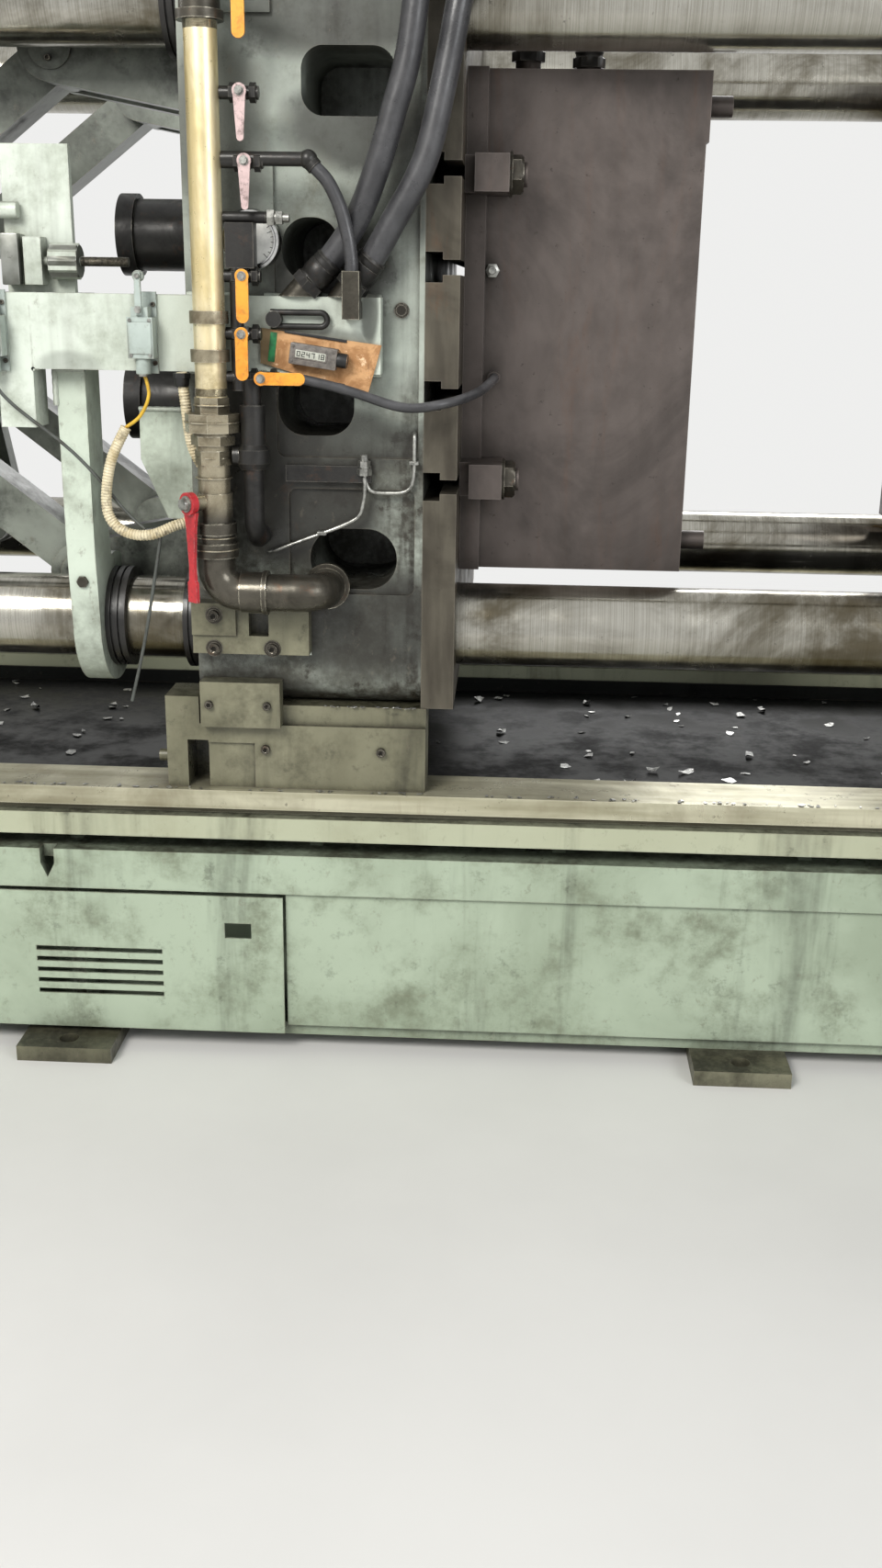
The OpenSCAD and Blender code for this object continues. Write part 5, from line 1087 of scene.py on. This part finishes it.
keepers("rear_link_upper_keepers", "rear_link_upper", [(-1.69325, 1.79), (-1.7575, 1.42562)],
        LINK_SIDE, 20, 7, True)
keepers("rear_link_lower_keepers", "rear_link_lower", [(-1.69325, 0.87), (-1.7575, 1.23438)],
        LINK_SIDE, 20, 7, True)
keepers("bracket_keepers", "platen", [(-1.28082, 0.87), (-1.28082, 1.79)], LINK_SIDE, 20, 7)
keepers("crosshead_keepers", "crosshead", [(-2.17104, 1.26), (-2.17104, 1.4)], CROSSHEAD_SIDE, 22, 8)

# ---------------------------------------------------------------- tank, motor and bottles

pump = Piece("tank_fittings", "base", "zinc", "fitting_iron")
pump.lathe((1.77325, -0.29, 0.64), UP, [(0, 0), (0, 46), (6, 48), (30, 48), (38, 40), (38, 0)], 36)
pump.lathe((1.83, -0.38, 0.12), FRONT, [(0, 0), (0, ("hex", 20)), (14, ("hex", 20)), (16, 15), (16, 0)], 24)
for y in (-0.2, 0.2):
    z = 1.41
    pump.lathe((3.1378, y, z), UP, [
        (0, 0), (0, ("hex", 34)), (30, ("hex", 34)), (32, 20), (50, 20), (50, ("hex", 24)),
        (66, ("hex", 24)), (68, 0)
    ], 36)
    pump.lathe((3.1378, y, z + 0.04), FRONT if y < 0 else (0, 1, 0), [
        (0, 0), (18, 8), (60, 8), (60, 38), (62, 40), (86, 40), (88, 38), (86, 35), (84, 0)
    ], 36)
pump.make()
level = Piece("tank_level_gauge", "base", "white_face", "bottle_paint")
level.box((1.493, -0.38, 0.32), (-12, -14, -110), (12, 0, 110), 3)
level.make()
motor_box = Piece("motor_terminal_box", "base", "grey_paint", "bottle_paint")
motor_box.box((1.35325, -0.12, 0.735), (-60, -70, -50), (60, 20, 50), 5)
motor_box.box((1.35325, -0.19, 0.735), (-64, -8, -54), (64, 1, 54), 3)
motor_box.make()

# ---------------------------------------------------------------- chips

rng = random.Random(7)


def flake(piece, at, size):
    n = rng.randint(5, 8)
    outline = []
    for k in range(n):
        a = math.tau * k / n
        r = size * rng.uniform(0.35, 1.0)
        outline.append((r * math.cos(a) * 1.5, r * math.sin(a)))
    turn = Matrix.Rotation(rng.uniform(0, 6.28), 3, "Z") @ Matrix.Rotation(rng.uniform(-0.25, 0.25), 3, "X")
    piece.plate(at, outline, 0.7, turn, rng.uniform(-0.02, 0.05))


def scatter(piece, count, x, y, z, size, side=-1):
    """Chips of the given sizes at one height; side -1 is the operator's."""
    for _ in range(count):
        flake(piece, (rng.uniform(*x), side * rng.uniform(*y), z), rng.uniform(*size))


chips = Piece("casting_chips", "base", "chip_metal", "rail_steel")
scatter(chips, 150, (-2.05, 0.5), (0.672, 0.682), 0.5262, (2, 6))
scatter(chips, 90, (-2.3, 0.9), (0.535, 0.552), 0.4772, (3, 11))
scatter(chips, 220, (-2.4, 0.9), (-0.5, 0.5), 0.4118, (4, 16), 1)
chips.make()
top_chips = Piece("shoe_chips", "platen", "chip_metal", "dirty_paint")
for _ in range(26):
    flake(top_chips, P(rng.uniform(214, 396), -rng.uniform(653, 661), -648.6), rng.uniform(2, 5))
top_chips.make()

# ---------------------------------------------------------------- floor, light

BACKDROP = (0.86, 0.86, 0.85, 1)
WORLD_LIGHT = 0.37


def seen_rays(t):
    """1 for the rays that look at the background: straight, mirrored or let through."""
    ray = t.nodes.new("ShaderNodeLightPath")
    total = ray.outputs["Is Camera Ray"]
    for name in ("Is Glossy Ray", "Is Transmission Ray"):
        n = t.nodes.new("ShaderNodeMath")
        n.use_clamp = True
        t.links.new(total, n.inputs[0])
        t.links.new(ray.outputs[name], n.inputs[1])
        total = n.outputs[0]
    return total


def make_floor():
    mesh = bpy.data.meshes.new("floor")
    s = 40
    mesh.from_pydata([(-s, -s, 0), (s, -s, 0), (s, s, 0), (-s, s, 0)], [], [(0, 1, 2, 3)])
    t = Tree("floor_pale")
    t.coord = t.geometry.outputs["Position"]
    colour = t.mix(t.step(t.noise(0.8, 5, 0.6), 0.3, 0.7), (222, 221, 218), (214, 213, 210))
    made = t.finish(colour, 0.75, 0.0, t.bump(t.noise(60, 3, 0.6), 0.05, 0.0005))
    far = t.add("ShaderNodeVectorMath", operation="LENGTH")
    t.t.links.new(t.stretched((0.5, 1, 1)), far.inputs[0])
    share = t.mul(t.step(far.outputs["Value"], 1.5, 4.4), seen_rays(t.t))
    glow, both = t.add("ShaderNodeEmission"), t.add("ShaderNodeMixShader")
    glow.inputs["Color"].default_value = BACKDROP
    out = next(n for n in t.t.nodes if n.type == "OUTPUT_MATERIAL")
    t.put(both, 0, share)
    t.t.links.new(t.shader.outputs[0], both.inputs[1])
    t.t.links.new(glow.outputs[0], both.inputs[2])
    t.t.links.new(both.outputs[0], out.inputs[0])
    mesh.materials.append(made)
    floor = bpy.data.objects.new("floor", mesh)
    bpy.context.scene.collection.objects.link(floor)


def area_light(name, at, towards, size, power, colour=(1, 1, 1)):
    data = bpy.data.lights.new(name, "AREA")
    data.shape = "RECTANGLE"
    data.size, data.size_y = size
    data.energy = power
    data.color = colour
    obj = bpy.data.objects.new(name, data)
    obj.location = at
    obj.rotation_euler = (Vector(towards) - Vector(at)).to_track_quat("-Z", "Y").to_euler()
    bpy.context.scene.collection.objects.link(obj)


def make_world():
    world = bpy.data.worlds.new("studio")
    world.use_nodes = True
    t = world.node_tree
    t.nodes.clear()
    out = t.nodes.new("ShaderNodeOutputWorld")
    seen, lit = (t.nodes.new("ShaderNodeBackground") for _ in range(2))
    mix = t.nodes.new("ShaderNodeMixShader")
    seen.inputs[0].default_value = BACKDROP
    lit.inputs[0].default_value = (0.95, 0.97, 1.0, 1)
    lit.inputs[1].default_value = WORLD_LIGHT
    t.links.new(seen_rays(t), mix.inputs[0])
    t.links.new(lit.outputs[0], mix.inputs[1])
    t.links.new(seen.outputs[0], mix.inputs[2])
    t.links.new(mix.outputs[0], out.inputs[0])
    bpy.context.scene.world = world


make_floor()
make_world()
area_light("key", (-2.6, -4.6, 4.2), (-0.6, 0, 1.1), (2.0, 2.0), 255, (1.0, 0.98, 0.94))
area_light("fill", (2.9, -4.2, 2.8), (0.4, 0, 1.0), (2.4, 2.4), 90, (0.96, 0.98, 1.0))
area_light("back", (0.5, 4.6, 4.0), (0, 0, 1.0), (3.0, 2.0), 150)
area_light("rear_end", (-5.6, 1.2, 3.2), (-2.0, 0, 1.0), (2.0, 2.0), 80)
